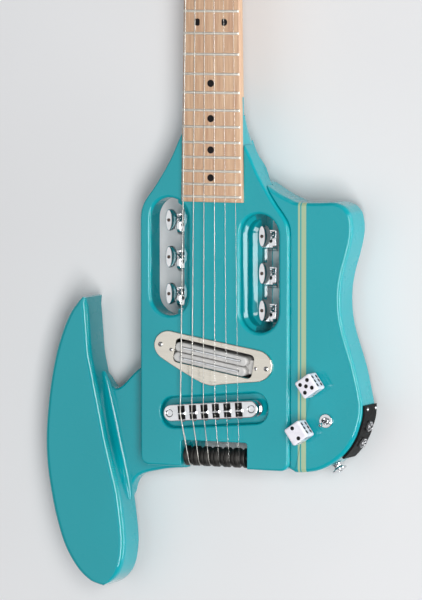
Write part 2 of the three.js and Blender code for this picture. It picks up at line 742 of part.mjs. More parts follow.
function neckCore() {
  const neckSection = (distance, depth, squareness) => ({
    distance,
    halfWidth: boardHalfWidth(distance) - FIT_GAP,
    top: FACE,
    bottom: FACE - depth,
    squareness,
  });
  const neck = barAlongNeck([
    ...HEAD_SHARES.map(([along, squareness]) => (
      neckSection(HEAD_LENGTH * along, NECK_DEPTH, squareness)
    )),
    ...HEEL_SHARES.map(([along, deeper, squareness]) => {
      const depth = NECK_DEPTH + (BODY_DEPTH - NECK_DEPTH) * deeper;
      return neckSection(HEEL_START + HEEL_LENGTH * along, depth, squareness);
    }),
  ]);
  const narrow = boardHalfWidth(HEEL_START) - FIT_GAP;
  const beamSection = (distance, wider, up) => ({
    distance,
    halfWidth: narrow + (HALF_BEAM - narrow) * wider,
    top: BEAM_TOP,
    bottom: BEAM_TOP * up,
  });
  const beam = flatBarAlongNeck([
    ...BEAM_NOSE_SHARES.map(([along, wider, up]) => (
      beamSection(HEEL_START + HEEL_LENGTH * along, wider, up)
    )),
    beamSection(BODY_END, 1, 0),
  ]);
  const trough = blockAlong({
    x: [-HALF_TROUGH, HALF_TROUGH],
    from: TROUGH_START,
    to: BODY_END + OVERRUN,
    z: [-OVERRUN, BEAM_TOP + OVERRUN],
  });
  const rodChannel = blockAlong({
    x: [-TRUSS_NUT_DIAMETER / 2 - FIT_GAP, TRUSS_NUT_DIAMETER / 2 + FIT_GAP],
    from: -HEAD_LENGTH - OVERRUN,
    to: TRUSS_ROD_END + FIT_GAP,
    z: [FACE - TRUSS_NUT_DIAMETER - 2 * FIT_GAP, FACE + OVERRUN],
  });
  const postHoles = tunerPlaces().map(({ side, distance }) => {
    const [from, to] = mirrored([HALF_TROUGH - OVERRUN, HALF_BEAM + OVERRUN], side);
    const hole = rodAlongX(POST_DIAMETER + HOLE_CLEARANCE, from, to, SMALL_SIDES);
    return placed(hole, 0, distance + POST_DROP, POST_HEIGHT);
  });
  return cut(join(neck, beam), trough, rodChannel, ...postHoles, onHeel(strapScrewHole()));
}

// Front cap
function frontCap() {
  const body = polygon(outlinePoints(capOutline()));
  for (const [side, place] of [[-1, BASS_SLOT_PLACE], [1, TREBLE_SLOT_PLACE]]) {
    const slot = slotOutline(SLOT_LENGTH, SLOT_WIDTH).extractPoints(CURVE_STEPS).shape;
    const shift = at(side * SLOT_OFFSET, place);
    body.holes.push(new THREE.Path(slot.map((point) => point.add(shift))));
  }
  const tenon = blockAlong({
    x: [-boardHalfWidth(BOARD_LENGTH), boardHalfWidth(BOARD_LENGTH)],
    from: SHOULDER_START - CAP_EDGE,
    to: SHOULDER_START + NECK_TENON_LENGTH + FIT_GAP,
    z: [CAP_BOTTOM - OVERRUN, FACE + OVERRUN],
  });
  const rollerSlot = blockAlong({
    x: [-ROLLER_SLOT_WIDTH / 2, ROLLER_SLOT_WIDTH / 2],
    from: ROLLER_SLOT_START,
    to: BODY_END + OVERRUN,
    z: [CAP_BOTTOM - OVERRUN, FACE + OVERRUN],
  });
  const axleReach = ROLLER_SLOT_WIDTH / 2 + AXLE_SEAT_LENGTH + FIT_GAP;
  const axleSeat = placed(
    rodAlongX(ROLLER_AXLE_DIAMETER + HOLE_CLEARANCE, -axleReach, axleReach),
    0,
    ROLLER_PLACE,
    ROLLER_HEIGHT,
  );
  const troughRoof = blockAlong({
    x: [-HALF_TROUGH, HALF_TROUGH],
    from: TROUGH_ROOF_START,
    to: ROLLER_SLOT_START + OVERRUN,
    z: [CAP_BOTTOM - OVERRUN, FACE - RECESS_DEPTH - TROUGH_ROOF],
  });
  const cavity = placedAtPickup(roundedPlate(
    PICKUP_EAR_LENGTH + POCKET_CLEARANCE,
    PICKUP_WIDTH + PICKUP_ROOM,
    PICKUP_CORNER,
    PICKUP_CAVITY_FLOOR,
    FACE + OVERRUN,
  ));
  const recess = placedAtBridge(roundedPlate(
    RECESS_LENGTH,
    RECESS_WIDTH,
    RECESS_CORNER,
    FACE - RECESS_DEPTH,
    FACE + OVERRUN,
  ));
  const bridgePostHoles = [-1, 1].map((side) => placedAtBridge(
    rod(BRIDGE_POST_DIAMETER + HOLE_CLEARANCE, CAP_BOTTOM + FIT_GAP, FACE + OVERRUN)
      .translate((side * BRIDGE_POST_SPACING) / 2, 0, 0),
  ));
  const thumbscrewHole = placed(
    rod(THUMBSCREW_SHANK + HOLE_CLEARANCE, CAP_BOTTOM - OVERRUN, THUMBSCREW_REACH + FIT_GAP),
    -THUMBSCREW_OFFSET,
    THUMBSCREW_PLACE,
  );
  return cut(
    plate(body, CAP_BOTTOM, FACE, CAP_EDGE),
    tenon,
    rollerSlot,
    axleSeat,
    troughRoof,
    cavity,
    recess,
    ...bridgePostHoles,
    thumbscrewHole,
  );
}

function roundedPlate(length, width, corner, bottom, top, edge = 0) {
  return plate(roundedRectangle(length, width, corner), bottom, top, edge);
}

function placedAtPickup(geometry) {
  return placed(geometry.rotateZ(PICKUP_TILT), 0, PICKUP_PLACE);
}

function placedAtBridge(geometry) {
  return placed(geometry.rotateZ(BRIDGE_TILT), 0, BRIDGE_PLACE);
}

// Treble wing
function trebleWing() {
  const raised = plate(polygon(outlinePoints(wingOutline())), WING_BOTTOM, WING_TOP, WING_EDGE);
  const underCap = plate(
    polygon(grown(outlinePoints(capOutline()), WING_GROOVE)),
    BEAM_TOP,
    FACE + OVERRUN,
  );
  const fingerSpace = blockAlong({
    x: [0, SLOT_OFFSET + SLOT_WIDTH / 2 + WING_RIM],
    from: TREBLE_SLOT_PLACE - SLOT_LENGTH / 2,
    to: TREBLE_SLOT_PLACE + SLOT_LENGTH / 2,
    z: [0, FACE],
  });
  const hollow = plate(hollowOutline(CAVITY_WALL), 0, WING_TOP - CAVITY_ROOF);
  const rebate = plate(hollowOutline(COVER_WALL), 0, WING_BOTTOM + COVER_THICKNESS + FIT_GAP);
  const controlHoles = [
    { diameter: POT_BUSH_DIAMETER, ...VOLUME_KNOB_PLACE },
    { diameter: POT_BUSH_DIAMETER, ...TONE_KNOB_PLACE },
    { diameter: SWITCH_BUSH_DIAMETER, ...SWITCH_PLACE },
  ].map(({ diameter, x, distance }) => placed(rod(diameter + HOLE_CLEARANCE, 0, FACE), x, distance));
  const strapHole = onEdge(strapScrewHole(), END_BUTTON_PLACE, JACK_HEIGHT);
  const jackHoles = jackPlaces().map((place) => onEdge(
    rod(JACK_BARREL_DIAMETER + HOLE_CLEARANCE, -JACK_DEPTH - CAVITY_WALL, OVERRUN),
    place.distance,
    JACK_HEIGHT,
  ));
  return cut(raised, underCap, fingerSpace, hollow, rebate, ...controlHoles, ...jackHoles, strapHole);
}

// The outline of the electronics cavity, its rebate or its cover, which follows the wing's edge.
function hollowOutline(wall) {
  const margin = CAVITY_WALL - wall;
  const side = CAVITY_SIDE - margin;
  const [from, to] = [CAVITY_START - margin, CAVITY_END + margin];
  const edge = grown(outlinePoints(wingOutline()), -wall)
    .filter((point) => point.x > side && -point.y > from && -point.y < to);
  return polygon([at(side, from), at(edge[0].x, from), ...edge, at(edge.at(-1).x, to), at(side, to)]);
}

// Places on the wing's outer edge

function jackPlaces() {
  return [
    { name: 'output_jack', distance: OUTPUT_JACK_PLACE },
    { name: 'headphone_jack', distance: HEADPHONE_JACK_PLACE },
  ];
}

// The edge point and outward direction at a distance from the nut, on the wing's lower right edge.
function edgePlace(distance) {
  const points = outlinePoints(wingOutline());
  const clockwise = THREE.ShapeUtils.isClockWise(points);
  for (let i = 0; i + 1 < points.length; i += 1) {
    const [a, b] = [points[i], points[i + 1]];
    const beyondHorn = Math.min(a.x, b.x) > HALF_CAP && Math.max(-a.y, -b.y) > LOWER_EDGE_START;
    const share = (distance + a.y) / (a.y - b.y);
    if (beyondHorn && share >= 0 && share <= 1) {
      const point = a.clone().lerp(b, share);
      const along = b.clone().sub(a).normalize();
      const outward = new THREE.Vector2(along.y, -along.x).multiplyScalar(clockwise ? -1 : 1);
      return { point, outward };
    }
  }
  throw new Error(`no wing edge at ${distance}`);
}

// Stands a piece made along z on the wing's edge, pointing outwards.
function onEdge(geometry, distance, height) {
  const { point, outward } = edgePlace(distance);
  const out = new THREE.Vector3(outward.x, outward.y, 0);
  const up = new THREE.Vector3(0, 0, 1);
  const side = new THREE.Vector3().crossVectors(out, up).negate();
  const turn = new THREE.Matrix4().makeBasis(side, up, out);
  return geometry.applyMatrix4(turn).translate(point.x, point.y, height);
}

// Armrest with an open slot in its tongue for the thumbscrew
function armrest() {
  const arm = plate(polygon(outlinePoints(armOutline())), ARM_LIFT, ARM_LIFT + ARM_THICKNESS, ARM_EDGE);
  const slotHalf = THUMBSCREW_SHANK / 2 + 2 * FIT_GAP;
  const slot = blockAlong({
    x: [-THUMBSCREW_OFFSET, 0],
    from: THUMBSCREW_PLACE - slotHalf,
    to: THUMBSCREW_PLACE + slotHalf,
    z: [0, FACE],
  });
  const slotEnd = placed(rod(2 * slotHalf, 0, FACE), -THUMBSCREW_OFFSET, THUMBSCREW_PLACE);
  return cut(join(crescent(), arm), slot, slotEnd);
}

function thumbscrew() {
  const headTop = ARM_LIFT - FIT_GAP;
  const headBottom = headTop - THUMBSCREW_HEAD;
  const shank = THUMBSCREW_SHANK / 2;
  const head = THUMBSCREW_DIAMETER / 2;
  const geometry = turned([
    [0, headBottom],
    [head - THUMBSCREW_CHAMFER, headBottom],
    [head, headBottom + THUMBSCREW_CHAMFER],
    [head, headTop - THUMBSCREW_CHAMFER],
    [head - THUMBSCREW_CHAMFER, headTop],
    [shank, headTop],
    [shank, THUMBSCREW_REACH],
    [0, THUMBSCREW_REACH],
  ], WHEEL_SIDES);
  return placed(geometry, -THUMBSCREW_OFFSET, THUMBSCREW_PLACE);
}

// Fretboard with its frets
function fretboard() {
  const outline = polygon([
    at(-boardHalfWidth(FIT_GAP), FIT_GAP),
    at(-boardHalfWidth(BOARD_LENGTH), BOARD_LENGTH),
    at(boardHalfWidth(BOARD_LENGTH), BOARD_LENGTH),
    at(boardHalfWidth(FIT_GAP), FIT_GAP),
  ]);
  return join(plate(outline, FACE, BOARD_TOP, BOARD_EDGE), ...frets());
}

// The round top of a fret, as shares of its width and height.
const FRET_PROFILE_SHARES = [[-0.5, 0], [0.5, 0], [0.42, 0.55], [0.2, 0.95], [-0.2, 0.95], [-0.42, 0.55]];

// Each fret is sunk into the board by its seat.
function frets() {
  const profile = polygon(FRET_PROFILE_SHARES.map(([across, up]) => (
    new THREE.Vector2(FRET_WIDTH * across, (FRET_HEIGHT + FRET_SEAT) * up)
  )));
  const bars = [];
  for (let fret = 1; fret <= FRET_COUNT; fret += 1) {
    const distance = fretDistance(fret);
    const half = boardHalfWidth(distance) - FRET_INSET;
    const bar = new THREE.ExtrudeGeometry(profile, { depth: 2 * half, bevelEnabled: false });
    bars.push(placed(facingX(bar), -half, distance, BOARD_TOP - FRET_SEAT));
  }
  return bars;
}

// String heights and places

function stringX(spread, i) {
  return spread * (i / (STRING_DIAMETERS.length - 1) - 1 / 2);
}

function nut() {
  const body = blockAlong({
    x: [-NUT_WIDTH / 2, NUT_WIDTH / 2],
    from: -NUT_THICKNESS,
    to: 0,
    z: [FACE, NUT_TOP],
  });
  const notches = STRING_DIAMETERS.map((diameter, i) => {
    const x = stringX(NUT_STRING_SPREAD, i);
    const half = diameter / 2 + STRING_SEAT;
    return blockAlong({
      x: [x - half, x + half],
      from: -NUT_THICKNESS - OVERRUN,
      to: OVERRUN,
      z: [NUT_STRING_BOTTOM - STRING_SEAT, NUT_TOP + OVERRUN],
    });
  });
  return cut(body, ...notches);
}

function stringAnchor() {
  const body = blockAlong({
    x: [-NUT_WIDTH / 2 + ANCHOR_INSET, NUT_WIDTH / 2 - ANCHOR_INSET],
    from: ANCHOR_PLACE - ANCHOR_LENGTH,
    to: ANCHOR_PLACE,
    z: [FACE, FACE + ANCHOR_HEIGHT],
  });
  const start = ANCHOR_PLACE - ANCHOR_LENGTH;
  const bore = STRING_DIAMETERS[0] + POCKET_CLEARANCE;
  const holes = STRING_DIAMETERS.flatMap((_, i) => [
    rodAlongNeck(bore, start, ANCHOR_PLACE + OVERRUN, SMALL_SIDES),
    rodAlongNeck(BALL_SEAT_DIAMETER, start - OVERRUN, start + BALL_SEAT_DEPTH, SMALL_SIDES),
  ].map((hole) => placed(hole, stringX(NUT_STRING_SPREAD, i), 0, ANCHOR_HOLE_LEVEL)));
  return cut(body, ...holes);
}

function trussRod() {
  const level = FACE - TRUSS_NUT_DIAMETER / 2 - FIT_GAP;
  const shaft = rodAlongNeck(TRUSS_ROD_DIAMETER, TRUSS_ROD_START, TRUSS_ROD_END);
  const adjuster = rodAlongNeck(
    TRUSS_NUT_DIAMETER,
    TRUSS_ROD_START,
    TRUSS_ROD_START + TRUSS_NUT_LENGTH,
    TRUSS_NUT_SIDES,
  );
  return placed(join(shaft, adjuster), 0, 0, level);
}

// Pickup: the ring plate, as shares of its width and height about its middle
const RING_SHARES = [
  [-0.501, 0.23], [-0.489, 0.34], [-0.464, 0.419], [-0.423, 0.48], [-0.37, 0.5],
  [-0.271, 0.458], [0.205, 0.268], [0.386, 0.197], [0.437, 0.154], [0.475, 0.079],
  [0.496, -0.02], [0.499, -0.118], [0.488, -0.217], [0.458, -0.309], [0.416, -0.368],
  [0.367, -0.397], [0.205, -0.434], [0.044, -0.48], [-0.01, -0.5], [-0.073, -0.471],
  [-0.129, -0.417], [-0.272, -0.243], [-0.428, -0.031], [-0.471, 0.05], [-0.493, 0.136],
];

function pickupRing() {
  const outline = polygon(RING_SHARES.map(([across, up]) => (
    new THREE.Vector2(RING_WIDTH * across, RING_HEIGHT * up)
  )));
  const body = placed(plate(outline, FACE, FACE + RING_THICKNESS, RING_EDGE), 0, PICKUP_PLACE);
  const opening = placedAtPickup(roundedPlate(
    PICKUP_LENGTH + PICKUP_ROOM,
    PICKUP_WIDTH + PICKUP_ROOM,
    PICKUP_CORNER,
    FACE - OVERRUN,
    FACE + RING_THICKNESS + OVERRUN,
  ));
  return cut(body, opening);
}

function coilBarOffset(side) {
  return (side * (PICKUP_WIDTH - COIL_BAR_WIDTH)) / 2 - side * FIT_GAP;
}

function pickupHousing() {
  const shell = roundedPlate(PICKUP_LENGTH, PICKUP_WIDTH, PICKUP_CORNER, PICKUP_BOTTOM, PICKUP_TOP);
  const ears = roundedPlate(
    PICKUP_EAR_LENGTH,
    PICKUP_EAR_WIDTH,
    PICKUP_EAR_CORNER,
    PICKUP_EAR_TOP - PICKUP_EAR_THICKNESS,
    PICKUP_EAR_TOP,
  );
  const bars = [-1, 1].map((side) => {
    const bar = plate(
      slotOutline(COIL_BAR_LENGTH, COIL_BAR_WIDTH),
      PICKUP_TOP - COIL_BAR_HEIGHT,
      PICKUP_TOP + COIL_BAR_HEIGHT,
      COIL_BAR_EDGE,
    );
    return bar.rotateZ(Math.PI / 2).translate(0, coilBarOffset(side), 0);
  });
  const bladeSlots = [-1, 1].map((side) => bladeBlock(side, FIT_GAP));
  return placedAtPickup(cut(join(shell, ears, ...bars), ...bladeSlots, magnetBlock(FIT_GAP)));
}

function bladeBlock(side, clearance) {
  const half = BLADE_THICKNESS / 2 + clearance;
  const reach = BLADE_LENGTH / 2 + clearance;
  const middle = coilBarOffset(side);
  const top = PICKUP_TOP + COIL_BAR_HEIGHT + BLADE_HEIGHT;
  return block({ x: [-reach, reach], y: [middle - half, middle + half], z: [PICKUP_BOTTOM, top] });
}

// The magnet lies under the coils and joins the two blades. It opens to the housing's bottom.
function magnetBlock(clearance) {
  const reach = BLADE_LENGTH / 2 + clearance;
  const half = coilBarOffset(1) + clearance;
  const bottom = PICKUP_BOTTOM - (clearance > 0 ? OVERRUN : 0);
  return block({
    x: [-reach, reach],
    y: [-half, half],
    z: [bottom, PICKUP_BOTTOM + MAGNET_THICKNESS + clearance],
  });
}

function pickupCore() {
  return placedAtPickup(join(bladeBlock(-1, 0), bladeBlock(1, 0), magnetBlock(0)));
}

// Bridge
function saddleHome() {
  return BRIDGE_POCKET_WIDTH / 2 - FIT_GAP - SADDLE_LENGTH / 2;
}

function bridgeStringX(i) {
  return stringX(BRIDGE_STRING_SPREAD, i);
}

function bridgeBar() {
  const body = plate(slotOutline(BRIDGE_LENGTH, BRIDGE_WIDTH), BRIDGE_BOTTOM, BRIDGE_TOP, BRIDGE_EDGE)
    .rotateZ(Math.PI / 2);
  const pocket = block({
    x: [-BRIDGE_POCKET_LENGTH / 2, BRIDGE_POCKET_LENGTH / 2],
    y: [-BRIDGE_POCKET_WIDTH / 2, BRIDGE_POCKET_WIDTH / 2],
    z: [BRIDGE_BOTTOM + BRIDGE_FLOOR, BRIDGE_TOP + OVERRUN],
  });
  const screwHolesInWall = STRING_DIAMETERS.map((_, i) => (
    rodAlongNeck(SADDLE_SCREW_DIAMETER + HOLE_CLEARANCE, -BRIDGE_WIDTH, 0, SMALL_SIDES)
      .translate(bridgeStringX(i), 0, SADDLE_SCREW_LEVEL)
  ));
  const postHoles = [-1, 1].map((side) => (
    rod(BRIDGE_POST_DIAMETER + HOLE_CLEARANCE, 0, BRIDGE_TOP + OVERRUN)
      .translate((side * BRIDGE_POST_SPACING) / 2, 0, 0)
  ));
  return placedAtBridge(cut(body, pocket, ...screwHolesInWall, ...postHoles));
}

// A saddle's side view, as shares of its length and height: a block with a ridge on top.
const SADDLE_SHARES = [[-0.5, 0], [0.5, 0], [0.5, 0.7], [0.08, 1], [-0.08, 1], [-0.5, 0.7]];

function saddle(i) {
  const bottom = BRIDGE_BOTTOM + BRIDGE_FLOOR + FIT_GAP;
  const profile = polygon(SADDLE_SHARES.map(([along, up]) => (
    new THREE.Vector2(SADDLE_LENGTH * along, (SADDLE_TOP - bottom) * up)
  )));
  const bar = new THREE.ExtrudeGeometry(profile, { depth: SADDLE_WIDTH, bevelEnabled: false });
  const body = facingX(bar).translate(-SADDLE_WIDTH / 2, 0, bottom);
  const bore = SADDLE_SCREW_DIAMETER + HOLE_CLEARANCE;
  const hole = rodAlongNeck(bore, -SADDLE_LENGTH, SADDLE_LENGTH, SMALL_SIDES)
    .translate(0, 0, SADDLE_SCREW_LEVEL);
  return placedAtBridge(cut(body, hole).translate(bridgeStringX(i), -saddleHome(), 0));
}

function bridgePost(side) {
  const radius = BRIDGE_POST_DIAMETER / 2;
  const wheel = BRIDGE_WHEEL_DIAMETER / 2;
  const wheelTop = BRIDGE_BOTTOM - FIT_GAP;
  const wheelBottom = wheelTop - BRIDGE_WHEEL_THICKNESS;
  const top = BRIDGE_TOP - FIT_GAP;
  const post = turned([
    [0, CAP_BOTTOM + 2 * FIT_GAP],
    [radius, CAP_BOTTOM + 2 * FIT_GAP],
    [radius, wheelBottom],
    [wheel, wheelBottom],
    [wheel, wheelTop],
    [radius, wheelTop],
    [radius, top],
    [0, top],
  ], ROUND_SIDES);
  const driverSlot = block({
    x: [-radius - OVERRUN, radius + OVERRUN],
    y: [-DRIVER_SLOT_WIDTH / 2, DRIVER_SLOT_WIDTH / 2],
    z: [top - DRIVER_SLOT_DEPTH, top + OVERRUN],
  });
  return placedAtBridge(cut(post, driverSlot).translate((side * BRIDGE_POST_SPACING) / 2, 0, 0));
}

// String rollers on their axle
function rollerX(i) {
  return ROLLER_PITCH * (i - (ROLLER_COUNT - 1) / 2);
}

function stringRoller(i) {
  const bore = (ROLLER_AXLE_DIAMETER + HOLE_CLEARANCE) / 2;
  const rim = ROLLER_DIAMETER / 2;
  const half = ROLLER_WIDTH / 2;
  const profile = [
    [bore, -half],
    [rim, -half],
    [rim, -half * GROOVE_MOUTH_SHARE],
    [ROLLER_GROOVE_RADIUS, -half * GROOVE_FLOOR_SHARE],
    [ROLLER_GROOVE_RADIUS, half * GROOVE_FLOOR_SHARE],
    [rim, half * GROOVE_MOUTH_SHARE],
    [rim, half],
    [bore, half],
    [bore, -half],
  ];
  const geometry = turned(profile, WHEEL_SIDES).rotateY(Math.PI / 2);
  return placed(geometry, rollerX(i), ROLLER_PLACE, ROLLER_HEIGHT);
}

function rollerAxle() {
  const reach = ROLLER_SLOT_WIDTH / 2 + AXLE_SEAT_LENGTH;
  return placed(rodAlongX(ROLLER_AXLE_DIAMETER, -reach, reach), 0, ROLLER_PLACE, ROLLER_HEIGHT);
}

// Tuners: three on each side of the beam, the first nearest the neck, in the middle of their slot
function tunerPlaces() {
  const places = [];
  for (const [side, slotPlace] of [[-1, BASS_SLOT_PLACE + BASS_TUNER_SHIFT], [1, TREBLE_SLOT_PLACE]]) {
    for (let i = 0; i < TUNERS_PER_SIDE; i += 1) {
      places.push({ side, row: i, distance: slotPlace - TUNER_SPAN / 2 + TUNER_PITCH * i });
    }
  }
  return places;
}

function tunerHousing({ side, distance }) {
  const radius = (HOUSING_TOP - HOUSING_BOTTOM) / 2;
  const middle = (HOUSING_TOP + HOUSING_BOTTOM) / 2;
  const outline = new THREE.Shape();
  outline.moveTo(HOUSING_RISE, -radius);
  outline.lineTo(HOUSING_RISE, radius);
  outline.lineTo(-HOUSING_FALL + radius, radius);
  outline.absarc(-HOUSING_FALL + radius, 0, radius, Math.PI / 2, 1.5 * Math.PI);
  const casing = facingX(plate(outline, 0, HOUSING_REACH, HOUSING_WALL));
  const hollow = block({
    x: [-OVERRUN, HOUSING_REACH - HOUSING_WALL],
    y: [-HOUSING_FALL + HOUSING_WALL, HOUSING_RISE - HOUSING_WALL],
    z: [-radius + HOUSING_END_WALL, radius - HOUSING_END_WALL],
  });
  const hollowRound = facingX(plate(
    slotOutline(2 * radius - 2 * HOUSING_WALL, 2 * radius - 2 * HOUSING_WALL - FIT_GAP),
    -OVERRUN,
    HOUSING_REACH - HOUSING_WALL,
  )).translate(0, -POST_DROP, 0);
  const wormBore = rod(WORM_SHAFT_DIAMETER + HOLE_CLEARANCE, 0, FACE, SMALL_SIDES)
    .translate(WORM_OFFSET - HALF_BEAM - FIT_GAP, 0, 0);
  const inner = common(hollow, join(hollowRound, block({
    x: [-OVERRUN, HOUSING_REACH],
    y: [-POST_DROP, HOUSING_RISE],
    z: [-radius, radius],
  })));
  const made = cut(casing, inner, wormBore).translate(HALF_BEAM + FIT_GAP, 0, middle);
  if (side < 0) made.applyMatrix4(MIRROR_X).index.array.reverse();
  return placed(made, 0, distance);
}

// The housings of one side stand on a common strip against the beam.
function tunerHousings(side) {
  const own = tunerPlaces().filter((place) => place.side === side);
  const wall = HALF_BEAM + FIT_GAP;
  const strips = own.slice(1).map((place) => blockAlong({
    x: mirrored([wall, wall + HOUSING_STRIP], side),
    from: place.distance - TUNER_PITCH + HOUSING_FALL - HOUSING_WALL * 2,
    to: place.distance - HOUSING_RISE + HOUSING_WALL,
    z: [HOUSING_BOTTOM + HOUSING_WALL * 2, HOUSING_TOP - HOUSING_WALL * 2],
  }));
  return join(...own.map(tunerHousing), ...strips);
}

// The button's outline seen from the side: a flat oval with a dip in its top, shares of its sizes.
const BUTTON_SHARES = [
  [0, -0.5], [0.28, -0.46], [0.46, -0.25], [0.5, 0.05], [0.42, 0.36], [0.25, 0.5], [0, 0.44],
  [-0.25, 0.5], [-0.42, 0.36], [-0.5, 0.05], [-0.46, -0.25], [-0.28, -0.46],
];

function tunerButton({ side, distance }) {
  const outline = polygon(BUTTON_SHARES.map(([across, up]) => (
    new THREE.Vector2(BUTTON_LENGTH * across, BUTTON_HEIGHT * up)
  )));
  const button = facingX(plate(outline, -BUTTON_THICKNESS / 2, BUTTON_THICKNESS / 2, BUTTON_EDGE))
    .translate(0, 0, BUTTON_TOP - BUTTON_HEIGHT / 2);
  const shaft = WORM_SHAFT_DIAMETER / 2;
  const worm = WORM_DIAMETER / 2;
  const collar = COLLAR_DIAMETER / 2;
  const wormTop = HOUSING_TOP - HOUSING_END_WALL - FIT_GAP;
  const wormBottom = HOUSING_BOTTOM + HOUSING_END_WALL + FIT_GAP;
  const collarBottom = HOUSING_TOP + FIT_GAP;
  const spindle = turned([
    [0, wormBottom],
    [worm, wormBottom],
    [worm, wormTop],
    [shaft, wormTop],
    [shaft, collarBottom],
    [collar, collarBottom],
    [collar, collarBottom + COLLAR_HEIGHT],
    [shaft, collarBottom + COLLAR_HEIGHT],
    [shaft, BUTTON_TOP - BUTTON_HEIGHT / 2],
    [0, BUTTON_TOP - BUTTON_HEIGHT / 2],
  ], SMALL_SIDES);
  return placed(join(button, spindle), side * WORM_OFFSET, distance);
}

function gearOutline() {
  const points = [];
  for (let i = 0; i < 2 * GEAR_TEETH; i += 1) {
    const angle = (FULL_TURN * i) / (2 * GEAR_TEETH);
    const radius = GEAR_DIAMETER / 2 - (i % 2) * GEAR_TOOTH_DEPTH;
    points.push(new THREE.Vector2(radius * Math.cos(angle), radius * Math.sin(angle)));
  }
  return polygon(points);
}

function tunerPost({ side, distance }) {
  const gear = facingX(plate(gearOutline(), -GEAR_THICKNESS / 2, GEAR_THICKNESS / 2))
    .translate(side * WORM_OFFSET, 0, 0);
  const [from, to] = mirrored([POST_TIP_OFFSET, WORM_OFFSET], side);
  const post = rodAlongX(POST_DIAMETER, from, to, WRAP_STEPS);
  const tip = side * POST_TIP_OFFSET;
  const flange = rodAlongX(FLANGE_DIAMETER, -FLANGE_THICKNESS / 2, FLANGE_THICKNESS / 2, WRAP_STEPS)
    .translate(tip, 0, 0);
  return placed(join(gear, post, flange), 0, distance + POST_DROP, POST_HEIGHT);
}

// Strings: ball, nut, saddle, roller, then back through the trough and round the tuner post

// Where a straight line from a point touches a circle, and the angle of that place.
function tangentAngle(point, centre, radius, turn) {
  const offset = point.clone().sub(centre);
  return offset.angle() + turn * Math.acos(radius / offset.length());
}

function onCircle(centre, radius, angle) {
  return new THREE.Vector2(centre.x + radius * Math.cos(angle), centre.y + radius * Math.sin(angle));
}

function stringRoute(i) {
  const diameter = STRING_DIAMETERS[i];
  const lift = STRING_SEAT + diameter / 2;
  const side = i < TUNERS_PER_SIDE ? -1 : 1;
  const inward = side < 0 ? i : STRING_DIAMETERS.length - 1 - i;
  const row = TUNERS_PER_SIDE - 1 - inward;
  const tuner = tunerPlaces().find((place) => place.side === side && place.row === row);
  const rollerCentre = new THREE.Vector2(-ROLLER_PLACE, ROLLER_HEIGHT);
  const rollerRadius = ROLLER_GROOVE_RADIUS + lift;
  const postCentre = new THREE.Vector2(-(tuner.distance + POST_DROP), POST_HEIGHT);
  const postRadius = POST_DIAMETER / 2 + lift;
  const bridgeX = bridgeStringX(i);
  const saddleLine = BRIDGE_PLACE + saddleHome() - bridgeX * Math.tan(BRIDGE_TILT);
  const saddlePoint = new THREE.Vector2(-saddleLine, SADDLE_TOP + lift);
  const nutX = stringX(NUT_STRING_SPREAD, i);
  const nutLevel = NUT_STRING_BOTTOM + diameter / 2;

  const points = [
    new THREE.Vector3(nutX, -BALL_PLACE, ANCHOR_HOLE_LEVEL),
    new THREE.Vector3(nutX, -ANCHOR_PLACE - FIT_GAP, ANCHOR_HOLE_LEVEL),
    new THREE.Vector3(nutX, NUT_THICKNESS, nutLevel),
    new THREE.Vector3(nutX, 0, nutLevel),
    new THREE.Vector3(bridgeX, saddlePoint.x, saddlePoint.y),
  ];
  const first = tangentAngle(saddlePoint, rollerCentre, rollerRadius, 1);
  const link = postCentre.clone().sub(rollerCentre);
  const open = Math.acos((rollerRadius + postRadius) / link.length());
  const last = link.angle() - open;
  const sweep = (FULL_TURN + last - first) % FULL_TURN;
  for (let s = 0; s <= ROLLER_WRAP_STEPS; s += 1) {
    const spot = onCircle(rollerCentre, rollerRadius, first + sweep * (s / ROLLER_WRAP_STEPS));
    points.push(new THREE.Vector3(rollerX(i), spot.x, spot.y));
  }
  const postStart = link.angle() + Math.PI - open;
  const wrapX = side * (WRAP_FIRST_OFFSET - WRAP_SPACING * inward);
  const wraps = WRAP_TURNS * WRAP_STEPS;
  for (let s = 0; s <= wraps; s += 1) {
    const spot = onCircle(postCentre, postRadius, postStart - (FULL_TURN * s) / WRAP_STEPS);
    const drift = (-side * WRAP_PITCH * s) / WRAP_STEPS;
    points.push(new THREE.Vector3(wrapX + drift, spot.x, spot.y));
  }
  return points;
}

// The least space left between parts of a string that are not next to each other on its route.
function leastGap(points, diameter) {
  let least = Infinity;
  for (let a = 0; a < points.length; a += 1) {
    for (let b = a + WRAP_STEPS / 2; b < points.length; b += 1) {
      least = Math.min(least, points[a].distanceTo(points[b]) - diameter);
    }
  }
  return least;
}

function guitarString(i) {
  const gap = leastGap(stringRoute(i), STRING_DIAMETERS[i]);
  console.log(`string ${i + 1}: least gap to itself ${gap.toFixed(2)} mm`);
  if (gap < WINDING_GAP) throw new Error(`string ${i + 1} winds too tightly`);
  const ball = rodAlongX(BALL_DIAMETER, -BALL_LENGTH / 2, BALL_LENGTH / 2, SMALL_SIDES)
    .translate(stringX(NUT_STRING_SPREAD, i), -BALL_PLACE, ANCHOR_HOLE_LEVEL);
  return join(wire(stringRoute(i), STRING_DIAMETERS[i], STRING_SIDES), ball);
}

// Knobs, potentiometers and switch
// A dice-shaped knob on its potentiometer's shaft
function diceKnob({ x, distance }) {
  const cube = new RoundedBoxGeometry(KNOB_SIZE, KNOB_SIZE, KNOB_SIZE, KNOB_EDGE_STEPS, KNOB_EDGE);
  const level = WING_TOP + KNOB_LIFT + KNOB_SIZE / 2;
  const bottom = WING_TOP - CAVITY_ROOF - FIT_GAP;
  const shaft = rod(POT_SHAFT_DIAMETER, bottom - level, 0);
  return placed(join(cube.rotateZ(KNOB_TURN), shaft), x, distance, level);
}

